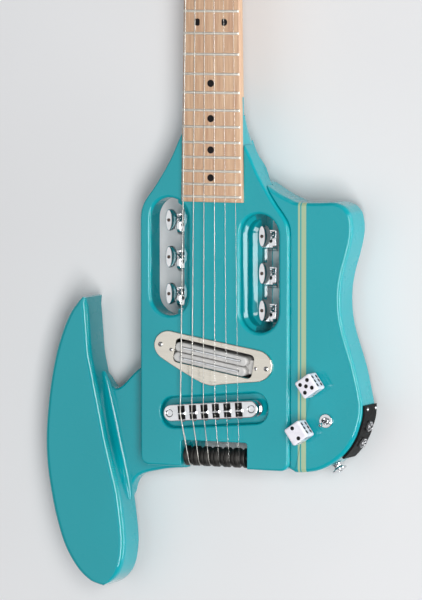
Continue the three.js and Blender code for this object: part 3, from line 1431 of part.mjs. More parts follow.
function potCase({ x, distance }) {
  const roof = WING_TOP - CAVITY_ROOF - FIT_GAP;
  const bore = (POT_SHAFT_DIAMETER + HOLE_CLEARANCE) / 2;
  const made = turned([
    [0, roof - POT_HEIGHT],
    [POT_DIAMETER / 2, roof - POT_HEIGHT],
    [POT_DIAMETER / 2, roof],
    [POT_BUSH_DIAMETER / 2, roof],
    [POT_BUSH_DIAMETER / 2, WING_TOP - FIT_GAP],
    [bore, WING_TOP - FIT_GAP],
    [bore, roof - FIT_GAP * 2],
    [0, roof - FIT_GAP * 2],
  ], ROUND_SIDES);
  return placed(made, x, distance);
}

function toggleSwitch() {
  const roof = WING_TOP - CAVITY_ROOF - FIT_GAP;
  const body = block({
    x: [-SWITCH_BODY_WIDTH / 2, SWITCH_BODY_WIDTH / 2],
    y: [-SWITCH_BODY_LENGTH / 2, SWITCH_BODY_LENGTH / 2],
    z: [roof - SWITCH_BODY_HEIGHT, roof],
  });
  const bush = rod(SWITCH_BUSH_DIAMETER, roof - OVERRUN, WING_TOP + SWITCH_BUSH_HEIGHT);
  const nutLevel = WING_TOP + FIT_GAP;
  const ring = rod(SWITCH_NUT_DIAMETER, nutLevel, nutLevel + SWITCH_NUT_HEIGHT);
  const mouth = turned([
    [0, SWITCH_PIVOT_LEVEL - LEVER_DIAMETER / 2],
    [LEVER_DIAMETER / 2, SWITCH_PIVOT_LEVEL - LEVER_DIAMETER / 2],
    [SWITCH_BUSH_DIAMETER / 2 - FIT_GAP, WING_TOP + SWITCH_BUSH_HEIGHT + OVERRUN],
    [0, WING_TOP + SWITCH_BUSH_HEIGHT + OVERRUN],
  ], ROUND_SIDES);
  return placed(cut(join(body, bush, ring), mouth), SWITCH_PLACE.x, SWITCH_PLACE.distance);
}

// The lever's profile, as shares of its diameter and its length from the pivot.
const LEVER_SHARES = [[0, -0.1], [0.33, -0.05], [0.33, 0.25], [0.5, 0.88], [0.33, 1], [0, 1]];

// The lever stands on its pivot, tipped to the bottom end.
function toggleLever() {
  const lever = turned(LEVER_SHARES.map(([out, up]) => (
    [LEVER_DIAMETER * out, LEVER_LENGTH * up]
  )), SMALL_SIDES).rotateX(LEVER_SWING);
  return placed(lever, SWITCH_PLACE.x, SWITCH_PLACE.distance, SWITCH_PIVOT_LEVEL);
}

// Side plate and jacks on the wing's lower right edge
function sidePlate() {
  const points = outlinePoints(wingOutline());
  const [bottom, top] = [WING_BOTTOM + SIDE_PLATE_MARGIN, WING_TOP - WING_EDGE];
  const outer = plate(polygon(grown(points, FIT_GAP + SIDE_PLATE_THICKNESS)), bottom, top);
  const inner = plate(polygon(grown(points, FIT_GAP)), 0, FACE);
  const start = edgePlace(SIDE_PLATE_START).point;
  const end = edgePlace(SIDE_PLATE_END).point;
  const region = block({
    x: [end.x, WING_REACH + SIDE_PLATE_THICKNESS + OVERRUN],
    y: [end.y - SIDE_PLATE_THICKNESS, start.y],
    z: [0, FACE],
  });
  const holes = jackPlaces().map(({ distance }) => onEdge(
    rod(JACK_BARREL_DIAMETER + HOLE_CLEARANCE, -JACK_DEPTH, JACK_DEPTH / 2),
    distance,
    JACK_HEIGHT,
  ));
  return cut(common(outer, region), inner, ...holes);
}

function jack({ distance }) {
  const seat = FIT_GAP + SIDE_PLATE_THICKNESS + FIT_GAP;
  const inside = JACK_BORE / 2;
  const barrel = JACK_BARREL_DIAMETER / 2;
  const ring = JACK_NUT_DIAMETER / 2;
  const made = turned([
    [inside, -JACK_DEPTH],
    [barrel, -JACK_DEPTH],
    [barrel, seat],
    [ring, seat],
    [ring, seat + JACK_NUT_THICKNESS],
    [barrel, seat + JACK_NUT_THICKNESS],
    [barrel, seat + JACK_BARREL_RISE],
    [inside, seat + JACK_BARREL_RISE],
    [inside, -JACK_DEPTH],
  ], ROUND_SIDES);
  return onEdge(made, distance, JACK_HEIGHT);
}

// Strap buttons: one on the wing's lower edge, one on the heel's back
function strapButton() {
  const waist = STRAP_BUTTON_WAIST / 2;
  const head = STRAP_BUTTON_DIAMETER / 2;
  const screw = STRAP_BUTTON_SCREW / 2;
  return turned([
    [0, -STRAP_BUTTON_SCREW_LENGTH],
    [screw, -STRAP_BUTTON_SCREW_LENGTH + STRAP_BUTTON_SCREW],
    [screw, FIT_GAP],
    [STRAP_BUTTON_FOOT / 2, FIT_GAP],
    ...STRAP_WAIST_SHARES.map((up) => [waist, STRAP_BUTTON_HEIGHT * up]),
    ...STRAP_HEAD_SHARES.map((up) => [head, STRAP_BUTTON_HEIGHT * up]),
    [waist, STRAP_BUTTON_HEIGHT],
    [0, STRAP_BUTTON_HEIGHT],
  ], WRAP_STEPS);
}

function strapScrewHole() {
  return rod(
    STRAP_BUTTON_SCREW + HOLE_CLEARANCE,
    -STRAP_BUTTON_SCREW_LENGTH - OVERRUN,
    OVERRUN,
    SMALL_SIDES,
  );
}

function onHeel(geometry) {
  return placed(geometry.rotateX(HEEL_BUTTON_TURN), 0, HEEL_BUTTON_PLACE, HEEL_BUTTON_LEVEL);
}

function controlCover() {
  return plate(hollowOutline(COVER_WALL + FIT_GAP), WING_BOTTOM, WING_BOTTOM + COVER_THICKNESS);
}

// The guitar
add('neck_core', neckCore(), maple);
add('front_cap', frontCap(), paint);
add('treble_wing', trebleWing(), paint);
add('armrest', armrest(), paint);
add('armrest_thumbscrew', thumbscrew(), steel);
add('fretboard', fretboard(), maple);
add('nut', nut(), boneWhite);
add('string_anchor', stringAnchor(), steel);
add('truss_rod', trussRod(), steel);
STRING_DIAMETERS.forEach((_, i) => add(`guitar_string_${i + 1}`, guitarString(i), steel));
add('pickup_ring', pickupRing(), chrome);
add('pickup_housing', pickupHousing(), steel);
add('pickup_core', pickupCore(), steel);
add('bridge_bar', bridgeBar(), chrome);
add('bridge_post_bass', bridgePost(-1), chrome);
add('bridge_post_treble', bridgePost(1), chrome);
STRING_DIAMETERS.forEach((_, i) => add(`saddle_${i + 1}`, saddle(i), chrome));
add('roller_axle', rollerAxle(), steel);
STRING_DIAMETERS.forEach((_, i) => add(`string_roller_${i + 1}`, stringRoller(i), blackMetal));
add('tuner_housings_bass', tunerHousings(-1), chrome);
add('tuner_housings_treble', tunerHousings(1), chrome);
tunerPlaces().forEach((place, i) => {
  add(`tuner_button_${i + 1}`, tunerButton(place), chrome);
  add(`tuner_post_${i + 1}`, tunerPost(place), steel);
});
add('volume_knob', diceKnob(VOLUME_KNOB_PLACE), whitePlastic);
add('tone_knob', diceKnob(TONE_KNOB_PLACE), whitePlastic);
add('volume_potentiometer', potCase(VOLUME_KNOB_PLACE), steel);
add('tone_potentiometer', potCase(TONE_KNOB_PLACE), steel);
add('toggle_switch', toggleSwitch(), chrome);
add('toggle_lever', toggleLever(), chrome);
add('side_plate', sidePlate(), blackPlastic);
for (const place of jackPlaces()) add(place.name, jack(place), chrome);
add('control_cover', controlCover(), blackPlastic);
add('strap_button_end', onEdge(strapButton(), END_BUTTON_PLACE, JACK_HEIGHT), chrome);
add('strap_button_heel', onHeel(strapButton()), chrome);

// The origin is the middle of the outer box, on the surface that the guitar lies on.
const outerBox = new THREE.Box3().setFromObject(guitar);
const middle = outerBox.getCenter(new THREE.Vector3());
guitar.position.set(-middle.x, -middle.y, -outerBox.min.z);

export default guitar;
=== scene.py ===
# Looks of a headless travel guitar, built round its CAD frame: lacquered body, maple neck, chrome parts,
# soft studio light and the photograph's camera.
# Sizes are in millimetres and places as in the part's source: x from the middle line to the treble side,
# distance from the nut along the neck, z above the surface that the guitar lies on.

from math import acos, atan2, copysign, cos, pi, radians, sin, tan

import bpy
import numpy as np
from mathutils import Matrix, Vector


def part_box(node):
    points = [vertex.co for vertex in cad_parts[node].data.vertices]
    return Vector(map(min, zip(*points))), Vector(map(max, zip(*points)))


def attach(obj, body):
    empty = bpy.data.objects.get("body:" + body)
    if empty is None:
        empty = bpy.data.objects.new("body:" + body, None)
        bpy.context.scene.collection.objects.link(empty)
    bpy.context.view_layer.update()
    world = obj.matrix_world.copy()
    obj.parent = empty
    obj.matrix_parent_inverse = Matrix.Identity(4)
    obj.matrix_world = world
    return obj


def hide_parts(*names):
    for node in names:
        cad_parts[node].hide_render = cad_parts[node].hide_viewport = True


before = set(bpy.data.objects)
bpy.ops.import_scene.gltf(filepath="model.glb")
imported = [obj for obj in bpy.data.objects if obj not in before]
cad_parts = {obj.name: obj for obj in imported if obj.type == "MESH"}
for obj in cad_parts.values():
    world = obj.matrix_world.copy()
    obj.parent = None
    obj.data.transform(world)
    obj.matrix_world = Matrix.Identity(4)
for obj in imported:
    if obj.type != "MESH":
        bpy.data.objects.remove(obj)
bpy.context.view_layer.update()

MM = 0.001
TAU = 2 * pi

# The frame's origin is worked out from the nut, which stands on the middle line with its edge at 0
nut_low, nut_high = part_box("nut")
ORIGIN = Vector(((nut_low.x + nut_high.x) / 2, nut_low.y, 0))

# Sizes and places of the solids
SCALE_LENGTH = 628.65
FRET_COUNT = 22
STRING_DIAMETERS = [1.07, 0.81, 0.61, 0.41, 0.28, 0.23]
NUT_STRING_SPREAD = 36
BRIDGE_STRING_SPREAD = 53.6
FACE = 44
CAP_BOTTOM = 25
HALF_CAP = 69.2
BODY_END = 683.2
BODY_CORNER = 8
SHOULDER_START = 395
SHOULDER_LENGTH = 76
SHOULDER_STAGGER = 12.5
NUT_WIDTH = 43
BOARD_END_WIDTH = 56.5
BOARD_TOP = 50
BOARD_OVERHANG = 4.5
NECK_DEPTH = 15.5
HEAD_LENGTH = 27
HEEL_START = 368
HEEL_LENGTH = 62
TENON_LENGTH = 50
HALF_BEAM = 36.4
BEAM_TOP = 24.7
BEAM_EDGE = 3
HALF_TROUGH = 28.4
TROUGH_START = 466
SLOT_WIDTH = 35.2
SLOT_LENGTH = 100
SLOT_OFFSET = 41.9
BASS_SLOT_PLACE = 504.3
TREBLE_SLOT_PLACE = 516.5
WING_REACH = 134
WING_START = 438.7
WING_LENGTH = 245.5
WING_WAIST = 545
WING_TOP = 39.5
WING_BOTTOM = 9.5
WING_GROOVE = 0.6
ARMREST_REACH = 161.04
ARMREST_WIDTH = 76
ARMREST_START = 540.6
ARMREST_LENGTH = 249.4
ARMREST_BOTTOM = 10
ARM_START = 600
ARM_END = 686.6
ARM_BOTTOM = 9.5
ARM_TOP = 24.5
THUMBSCREW_OFFSET = 53
THUMBSCREW_PLACE = 643
PICKUP_PLACE = 590.2
PICKUP_TILT = radians(-10)
BRIDGE_PLACE = 634
BRIDGE_TILT = radians(4.9)
BRIDGE_BOTTOM = 44.8
BRIDGE_TOP = 51.4
RECESS_FLOOR = 37
ROLLER_PLACE = 674.2
ROLLER_HEIGHT = 36.4
ROLLER_PITCH = 9.5
ROLLER_SLOT_WIDTH = 61.6
ROLLER_SLOT_START = 660.6
TUNER_PITCH = 31.4
WORM_OFFSET = 43.4
KNOB_TURN = radians(35)
VOLUME_KNOB_PLACE = (91.3, 608.8)
TONE_KNOB_PLACE = (81.6, 648.8)
SWITCH_PLACE = (102.3, 639.1)
SWITCH_PIVOT_LEVEL = 41.7
JACK_HEIGHT = 24
OUTPUT_JACK_PLACE = 642.6
HEADPHONE_JACK_PLACE = 656.2
END_BUTTON_PLACE = 676.6
BRIDGE_POST_OFFSET = 38.3
TUNER_POST_SHIFT = 7.5
TUNER_POST_LEVEL = 12
BEAM_SIDE = HALF_BEAM + 0.3
SIDES = ((-1, "bass"), (1, "treble"))
FINGER_SLOTS = ((-1, BASS_SLOT_PLACE), (1, TREBLE_SLOT_PLACE))
JACKS = (("output_jack", OUTPUT_JACK_PLACE), ("headphone_jack", HEADPHONE_JACK_PLACE))

# The dice are drawn a little smaller than the solids
KNOB_SIZE = 16
KNOB_LEVEL = 49.5


# Outlines

def flat(x, distance):
    """A point seen from the front, with y towards the head."""
    return np.array([x, -distance], float)


def spline(points, steps):
    """A smooth line through the points, with that many steps between two of them."""
    points = [np.asarray(p, float) for p in points]
    last = len(points) - 1
    line = []
    for i in range(last):
        before, start, end, after = points[max(i - 1, 0)], points[i], points[i + 1], points[min(i + 2, last)]
        leaving, arriving = (end - before) / 2, (after - start) / 2
        for k in range(steps):
            t = k / steps
            line.append((2 * start - 2 * end + leaving + arriving) * t ** 3
                        + (3 * end - 3 * start - 2 * leaving - arriving) * t ** 2 + leaving * t + start)
    return line + [points[-1]]


def closed(points, steps):
    """A smooth closed line through the points."""
    return spline([points[-1]] + points + points[:2], steps)[steps:-steps - 1]


def arc(x, y, radius, start, end, steps):
    """Points round (x, y) from one angle in degrees to another."""
    angles = [radians(start + (end - start) * k / steps) for k in range(steps + 1)]
    return [np.array([x + radius * cos(a), y + radius * sin(a)]) for a in angles]


def slot_shape(length, width, steps=24):
    """A slot with round ends along y, about the origin."""
    radius, reach = width / 2, (length - width) / 2
    return arc(0, reach, radius, 0, 180, steps) + arc(0, -reach, radius, 180, 360, steps)


def rounded_box(width, height, corner, steps=8):
    x, y = width / 2 - corner, height / 2 - corner
    corners = ((x, y), (-x, y), (-x, -y), (x, -y))
    return [p for k, (a, b) in enumerate(corners) for p in arc(a, b, corner, 90 * k, 90 * k + 90, steps)]


def placed(outline, x, distance, turn=0):
    c, s = cos(turn), sin(turn)
    return [np.array([x + c * p[0] - s * p[1], -distance + s * p[0] + c * p[1]]) for p in outline]


def grown(outline, amount):
    """The outline moved outwards by an amount; it runs anticlockwise."""
    pts = np.array(outline)
    before, after = pts - np.roll(pts, 1, 0), np.roll(pts, -1, 0) - pts
    before /= np.maximum(np.linalg.norm(before, axis=1), 1e-9)[:, None]
    after /= np.maximum(np.linalg.norm(after, axis=1), 1e-9)[:, None]
    tangent = before + after
    normal = np.stack([tangent[:, 1], -tangent[:, 0]], 1)
    normal /= np.maximum(np.linalg.norm(normal, axis=1), 1e-9)[:, None]
    corner = np.maximum(normal[:, 0] * after[:, 1] - normal[:, 1] * after[:, 0], 0.5)
    return pts + normal * (amount / corner)[:, None]


def anticlockwise(outline):
    """The outline without repeated points, running anticlockwise."""
    pts = []
    for p in outline:
        if not pts or np.linalg.norm(p - pts[-1]) > 1e-4:
            pts.append(np.asarray(p, float))
    if np.linalg.norm(pts[0] - pts[-1]) < 1e-4:
        pts.pop()
    area = sum(a[0] * b[1] - a[1] * b[0] for a, b in zip(pts, pts[1:] + pts[:1]))
    return pts if area > 0 else pts[::-1]


FLARE_SHARES = [(0.4, 0), (0.474, 0.117), (0.565, 0.297), (0.678, 0.478), (0.809, 0.659),
                (0.887, 0.751), (0.954, 0.842), (0.991, 0.933), (1, 1.02)]


def flare(side):
    start = SHOULDER_START + (SHOULDER_STAGGER if side > 0 else 0)
    return spline([flat(side * HALF_CAP * a, start + SHOULDER_LENGTH * b) for a, b in FLARE_SHARES], 8)


def cap_outline():
    x, y = HALF_CAP - BODY_CORNER, -BODY_END + BODY_CORNER
    return anticlockwise(flare(-1) + arc(-x, y, BODY_CORNER, 180, 270, 10)
                         + arc(x, y, BODY_CORNER, 270, 360, 10) + flare(1)[::-1])


WING_EDGE_SHARES = [
    (0.325, 0.0065), (0.383, 0.026), (0.448, 0.0456), (0.504, 0.0587), (0.56, 0.069), (0.709, 0.069),
    (0.791, 0.0665), (0.835, 0.07), (0.876, 0.079), (0.9045, 0.0937), (0.9224, 0.1096), (0.935, 0.15),
    (0.929, 0.191), (0.905, 0.246), (0.8746, 0.302), (0.855, 0.357), (0.851, 0.412), (0.86, 0.467),
    (0.884, 0.522), (0.95, 0.631), (0.996, 0.74), (1, 0.774), (0.9955, 0.8024), (0.979, 0.835),
    (0.9515, 0.8737), (0.909, 0.9104), (0.848, 0.945), (0.769, 0.9735), (0.679, 0.9927), (0.56, 1),
    (0.525, 0.994), (0.45, 0.975)]


def wing_edge():
    return spline([flat(WING_REACH * a, WING_START + WING_LENGTH * b) for a, b in WING_EDGE_SHARES], 8)


def wing_outline():
    edge = wing_edge()
    return anticlockwise([flat(BEAM_SIDE, WING_START)] + edge + [np.array([BEAM_SIDE, edge[-1][1]])])


CRESCENT_SHARES = [
    ((0.488, 0.002), (0.52, 0.005)), ((0.396, 0.026), (0.53, 0.029)), ((0.312, 0.059), (0.543, 0.066)),
    ((0.222, 0.117), (0.558, 0.126)), ((0.137, 0.195), (0.578, 0.198)), ((0.064, 0.298), (0.633, 0.278)),
    ((0.017, 0.411), (0.707, 0.383)), ((0, 0.507), (0.779, 0.487)), ((0.016, 0.595), (0.861, 0.587)),
    ((0.067, 0.691), (0.933, 0.675)), ((0.133, 0.777), (0.975, 0.759)), ((0.236, 0.868), (0.999, 0.84)),
    ((0.386, 0.941), (0.98, 0.904)), ((0.537, 0.982), (0.936, 0.945)), ((0.653, 0.996), (0.875, 0.97)),
    ((0.725, 1), (0.812, 0.986))]
ARM_ROOT_TOP_SHARES = [
    (0.3, 0.3), (0.45, 0.262), (0.554, 0.255), (0.628, 0.276), (0.691, 0.302), (0.751, 0.32),
    (0.811, 0.318), (0.884, 0.302), (0.975, 0.273), (1.08, 0.246)]
ARM_ROOT_BOTTOM_SHARES = [
    (1.436, 0.591), (1.278, 0.6), (1.133, 0.611), (1.041, 0.626), (0.986, 0.651),
    (0.946, 0.687), (0.843, 0.727), (0.475, 0.703)]


def armrest_point(share):
    return flat(-ARMREST_REACH + ARMREST_WIDTH * share[0], ARMREST_START + ARMREST_LENGTH * share[1])


def arm_outline():
    top = [armrest_point(s) for s in ARM_ROOT_TOP_SHARES] + [flat(-HALF_CAP - 2, ARM_START)]
    bottom = [flat(-BEAM_SIDE, ARM_END)] + [armrest_point(s) for s in ARM_ROOT_BOTTOM_SHARES]
    return anticlockwise(spline(top, 8) + [flat(-BEAM_SIDE, ARM_START)] + spline(bottom, 8))


def edge_place(distance):
    """The point and outward direction on the wing's edge, beyond its waist, at a distance from the nut."""
    edge = [p for p in wing_edge() if -p[1] > WING_WAIST and p[0] > HALF_CAP]
    for a, b in zip(edge, edge[1:]):
        if -a[1] <= distance <= -b[1]:
            share = (distance + a[1]) / (a[1] - b[1])
            along = (b - a) / np.linalg.norm(b - a)
            return a + (b - a) * share, np.array([-along[1], along[0]])
    raise ValueError(f"no wing edge at {distance}")


def fret_distance(fret):
    return SCALE_LENGTH * (1 - 2 ** (-fret / 12))


BOARD_LENGTH = fret_distance(FRET_COUNT) + BOARD_OVERHANG


def board_half_width(distance):
    return (NUT_WIDTH + (BOARD_END_WIDTH - NUT_WIDTH) * distance / BOARD_LENGTH) / 2


def tuner_places():
    places = []
    for side, middle in ((-1, BASS_SLOT_PLACE + 0.5), (1, TREBLE_SLOT_PLACE)):
        places += [(side, middle + TUNER_PITCH * (row - 1)) for row in range(3)]
    return places


# Meshes, as lists of vertices in millimetres and faces

def ringed(rings, closed_ends=True):
    """A skin over rings of as many points each."""
    size = len(rings[0])
    verts = [tuple(map(float, p)) for ring in rings for p in ring]
    faces = []
    for r in range(len(rings) - 1):
        for i in range(size):
            a, b = r * size + i, r * size + (i + 1) % size
            faces.append((a, b, b + size, a + size))
    if closed_ends:
        faces.append(tuple(reversed(range(size))))
        faces.append(tuple((len(rings) - 1) * size + i for i in range(size)))
    return verts, faces


ROUNDING_STEPS = 5


def rounding(bottom, top, low=0.0, high=0.0, steps=ROUNDING_STEPS):
    """The edge of a plate from bottom to top: pairs of inset and height."""
    angles = [pi / 2 * k / steps for k in range(steps + 1)]
    rows = [(low * (1 - sin(a)), bottom + low * (1 - cos(a))) for a in angles[:-1] if low]
    rows += [(0, bottom + low), (0, top - high)]
    return rows + [(high * (1 - cos(a)), top - high * (1 - sin(a))) for a in angles[1:] if high]


def plate(outline, rows):
    """A solid of one outline, inset at each height."""
    outline = anticlockwise(outline)
    return ringed([[(x, y, z) for x, y in grown(outline, -inset)] for inset, z in rows])


def pit(outline, floor, rim, top=FACE, floor_round=0.0):
    """A cutter for an opening whose rim at the top is rounded over."""
    rows = rounding(floor, top, floor_round, rim)
    flared = [(-inset, z) for inset, z in rows[-ROUNDING_STEPS:]]
    return plate(outline, rows[:-ROUNDING_STEPS] + flared + [(-rim, top + 2)])


def box(x, distance, z):
    (x0, x1), (d0, d1), (z0, z1) = x, distance, z
    verts = [(a, -b, c) for c in (z0, z1) for a, b in ((x0, d0), (x0, d1), (x1, d1), (x1, d0))]
    return verts, [(3, 2, 1, 0), (4, 5, 6, 7), (0, 1, 5, 4), (1, 2, 6, 5), (2, 3, 7, 6), (3, 0, 4, 7)]


def around(radii, z=0.0):
    """A ring round z with a radius for each of its points."""
    sides = len(radii)
    return [(r * cos(TAU * k / sides), r * sin(TAU * k / sides), z) for k, r in enumerate(radii)]


def turned(profile, sides=32):
    """A lathe piece round z, by radius and height: solid if the profile starts in the middle, else a ring."""
    rings = [around([r] * sides, z) for r, z in profile if r > 0]
    if profile[0][0] == 0:
        return ringed(rings)
    verts, faces = ringed(rings, closed_ends=False)
    base = len(verts) - sides
    return verts, faces + [(base + k, base + (k + 1) % sides, (k + 1) % sides, k) for k in range(sides)]


def rod(radius, low, high, sides=32):
    """A plain cylinder round z."""
    return turned([(0, low), (radius, low), (radius, high), (0, high)], sides)


def knurled(profile, sides, depth, low, high):
    """A lathe piece whose rows between two heights have a toothed edge."""
    return ringed([around([r - (depth if k % 2 and low <= z <= high else 0) for k in range(sides)], z)
                   for r, z in profile])


def transformed(data, matrix):
    verts, faces = data
    return [tuple(matrix @ Vector(v)) for v in verts], faces


def moved(data, x=0.0, distance=0.0, z=0.0, turn=0.0):
    return transformed(data, Matrix.Translation((x, -distance, z)) @ Matrix.Rotation(turn, 4, "Z"))


def facing_x(data):
    """Stands a flat plate on its edge: its x runs along y, its y up and its top to the treble side."""
    verts, faces = data
    return [(z, x, y) for x, y, z in verts], faces


def along_neck(data):
    return transformed(data, Matrix.Rotation(pi / 2, 4, "X"))


def along_x(data, side=1):
    return transformed(data, Matrix.Rotation(side * pi / 2, 4, "Y"))


def together(*parts):
    verts, faces = [], []
    for v, f in parts:
        faces += [tuple(i + len(verts) for i in face) for face in f]
        verts += list(v)
    return verts, faces


def tube(points, radius, sides=10):
    """A round wire through points in millimetres."""
    points = [Vector(p) for p in points]
    normal = Vector((1, 0, 0))
    rings = []
    for i, p in enumerate(points):
        tangent = (points[min(i + 1, len(points) - 1)] - points[max(i - 1, 0)]).normalized()
        normal = (normal - tangent * normal.dot(tangent)).normalized()
        across = tangent.cross(normal)
        rings.append([p + (normal * cos(TAU * k / sides) + across * sin(TAU * k / sides)) * radius
                      for k in range(sides)])
    return ringed(rings)


def object_of(name, data):
    verts, faces = data
    mesh = bpy.data.meshes.new(name)
    mesh.from_pydata([ORIGIN + Vector(v) * MM for v in verts], [], faces)
    if sum(f.center.dot(f.normal) * f.area for f in mesh.polygons) < 0:
        mesh.flip_normals()
    obj = bpy.data.objects.new(name, mesh)
    bpy.context.scene.collection.objects.link(obj)
    return obj


def combine(obj, shapes, operation="DIFFERENCE"):
    """Cuts the shapes from a piece, or joins them to it, and leaves one plain mesh."""
    tools = [object_of("tool", shape) for shape in shapes]
    for solid in [obj] + tools:
        solid.modifiers.new("triangles", "TRIANGULATE")
    for tool in tools:
        step = obj.modifiers.new("combine", "BOOLEAN")
        step.operation = operation
        step.solver = "MANIFOLD"
        step.object = tool
    graph = bpy.context.evaluated_depsgraph_get()
    mesh = bpy.data.meshes.new_from_object(obj.evaluated_get(graph))
    obj.modifiers.clear()
    old = obj.data
    obj.data = mesh
    mesh.name = obj.name
    for data in [old] + [tool.data for tool in tools]:
        bpy.data.meshes.remove(data)
    return obj


def cut(name, data, *tools):
    return combine(object_of(name, data), tools)


def carved(data, *tools):
    """What is left of a shape when the tools are cut from it."""
    mesh = cut("carved", data, *tools).data
    shape = [tuple((v.co - ORIGIN) / MM) for v in mesh.vertices], [tuple(p.vertices) for p in mesh.polygons]
    bpy.data.meshes.remove(mesh)
    return shape


def finish_piece(obj, finish, slot, body="body", stands_for=(), crease=32):
    """Smooth shading up to the crease angle, the finish, the body it rides on and the nodes it stands for."""
    mesh = obj.data
    mesh.materials.clear()
    mesh.materials.append(finish)
    mesh.shade_smooth()
    mesh.set_sharp_from_angle(angle=radians(crease))
    normals = obj.modifiers.new("even shading", "WEIGHTED_NORMAL")
    normals.keep_sharp = True
    normals.weight = 100
    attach(obj, body)
    if stands_for:
        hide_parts(*stands_for)
    return obj


def piece(name, data, finish, slot, tools=(), **options):
    obj = cut(name, data, *tools) if tools else object_of(name, data)
    return finish_piece(obj, finish, slot, **options)


# Materials

def colour(red, green, blue):
    """A colour given as 0 to 255 on the screen, as the shader wants it."""
    shares = [c / 255 for c in (red, green, blue)]
    return [c / 12.92 if c <= 0.04045 else ((c + 0.055) / 1.055) ** 2.4 for c in shares] + [1]


class Finish:
    """A node material: a Principled shader with small helpers to feed it."""

    def __init__(self, name, **sockets):
        self.material = bpy.data.materials.new(name)
        self.material.use_nodes = True
        self.tree = self.material.node_tree
        self.shader = self.tree.nodes["Principled BSDF"]
        self.place = self.add("ShaderNodeTexCoord").outputs["Object"]
        for socket, value in sockets.items():
            self.shader.inputs[socket.replace("_", " ")].default_value = value

    def add(self, kind, inputs=None, **settings):
        node = self.tree.nodes.new(kind)
        for key, value in settings.items():
            setattr(node, key, value)
        for key, value in (inputs or {}).items():
            if isinstance(value, bpy.types.NodeSocket):
                self.tree.links.new(value, node.inputs[key])
            else:
                node.inputs[key].default_value = value
        return node

    def stretched(self, scale):
        return self.add("ShaderNodeMapping", {"Vector": self.place, "Scale": scale}).outputs["Vector"]

    def noise(self, scale, stretch=(1, 1, 1), detail=4, rough=0.5):
        inputs = {"Vector": self.stretched(stretch), "Scale": scale, "Detail": detail, "Roughness": rough}
        return self.add("ShaderNodeTexNoise", inputs).outputs["Fac"]

    def ramp(self, share, *stops):
        node = self.add("ShaderNodeValToRGB", {"Fac": share})
        for element, (position, value) in zip(node.color_ramp.elements, stops):
            element.position = position
            element.color = value
        return node.outputs["Color"]

    def range(self, share, low, high, start=0.3, end=0.7):
        inputs = {"Value": share, "From Min": start, "From Max": end, "To Min": low, "To Max": high}
        return self.add("ShaderNodeMapRange", inputs).outputs["Result"]

    def mix(self, share, a, b):
        return self.add("ShaderNodeMix", {0: share, 6: a, 7: b}, data_type="RGBA").outputs[2]

    def math(self, operation, a, b=0.0):
        return self.add("ShaderNodeMath", {0: a, 1: b}, operation=operation).outputs[0]

    def between(self, value, low, high):
        """1 where a value lies between two bounds, else 0."""
        above, below = self.math("GREATER_THAN", value, low), self.math("LESS_THAN", value, high)
        return self.math("MULTIPLY", above, below)

    def feed(self, socket, source):
        self.tree.links.new(source, self.shader.inputs[socket])

    def bump(self, height, distance, strength):
        node = self.add("ShaderNodeBump", {"Height": height, "Distance": distance, "Strength": strength})
        self.feed("Normal", node.outputs["Normal"])


TEAL_DARK = colour(2, 150, 160)
TEAL_LIGHT = colour(4, 158, 168)
CREAM = colour(166, 188, 152)
STRIPES = ((76.0, 78.0), (79.1, 83.5))
STRIPE_LEVEL = 36.4


def lacquer(name, striped=False):
    f = Finish(name, Roughness=0.3, Coat_Weight=1.0, Coat_Roughness=0.03, Coat_IOR=1.47,
               Specular_IOR_Level=0.05)
    base = f.ramp(f.noise(6, detail=3), (0.3, TEAL_DARK), (0.7, TEAL_LIGHT))
    if striped:
        axes = f.add("ShaderNodeSeparateXYZ", {"Vector": f.place})
        x = axes.outputs["X"]
        bands = [f.between(x, ORIGIN.x + a * MM, ORIGIN.x + b * MM) for a, b in STRIPES]
        above = f.math("GREATER_THAN", axes.outputs["Z"], STRIPE_LEVEL * MM)
        mask = f.math("MULTIPLY", f.math("ADD", *bands), above)
        base = f.mix(mask, base, CREAM)
    f.feed("Base Color", base)
    f.feed("Roughness", f.range(f.noise(40), 0.24, 0.33))
    f.bump(f.noise(320, detail=2), 0.00002, 0.25)
    return f.material


def maple(name, light, dark):
    f = Finish(name, Roughness=0.42, Coat_Weight=0.35, Coat_Roughness=0.22)
    grain = f.noise(60, stretch=(9, 0.35, 9), detail=8, rough=0.62)
    fleck = f.noise(90, stretch=(7, 1.2, 7), detail=3, rough=0.7)
    board = f.noise(7, stretch=(1.5, 0.5, 1.5), detail=2)
    base = f.ramp(grain, (0.32, dark), (0.66, light))
    base = f.mix(f.range(fleck, 0, 0.32, 0.52, 0.75), base, colour(168, 128, 98))
    base = f.mix(f.range(board, 0, 0.25), base, colour(206, 170, 138))
    f.feed("Base Color", base)
    f.feed("Roughness", f.range(grain, 0.36, 0.5))
    f.bump(grain, 0.00006, 0.35)
    return f.material


def darker(shade, share):
    return [c * share for c in shade[:3]] + [1]


def metal(name, shade, low, high, scale=120, stretch=(1, 1, 1)):
    f = Finish(name, Metallic=1.0, Roughness=low)
    marks = f.noise(scale, stretch, detail=5)
    f.feed("Base Color", f.ramp(marks, (0.3, darker(shade, 0.86)), (0.7, shade)))
    f.feed("Roughness", f.range(marks, low, high))
    f.bump(marks, 0.000004, 0.4)
    return f.material


def plastic(name, light, dark, low, high, scale=160, coat=0.0, shine=0.5):
    f = Finish(name, Roughness=low, Coat_Weight=coat, Coat_Roughness=0.06, Specular_IOR_Level=shine)
    grain = f.noise(scale, detail=4)
    f.feed("Base Color", f.ramp(grain, (0.35, dark), (0.65, light)))
    f.feed("Roughness", f.range(grain, low, high))
    f.bump(grain, 0.00002, 0.5)
    return f.material


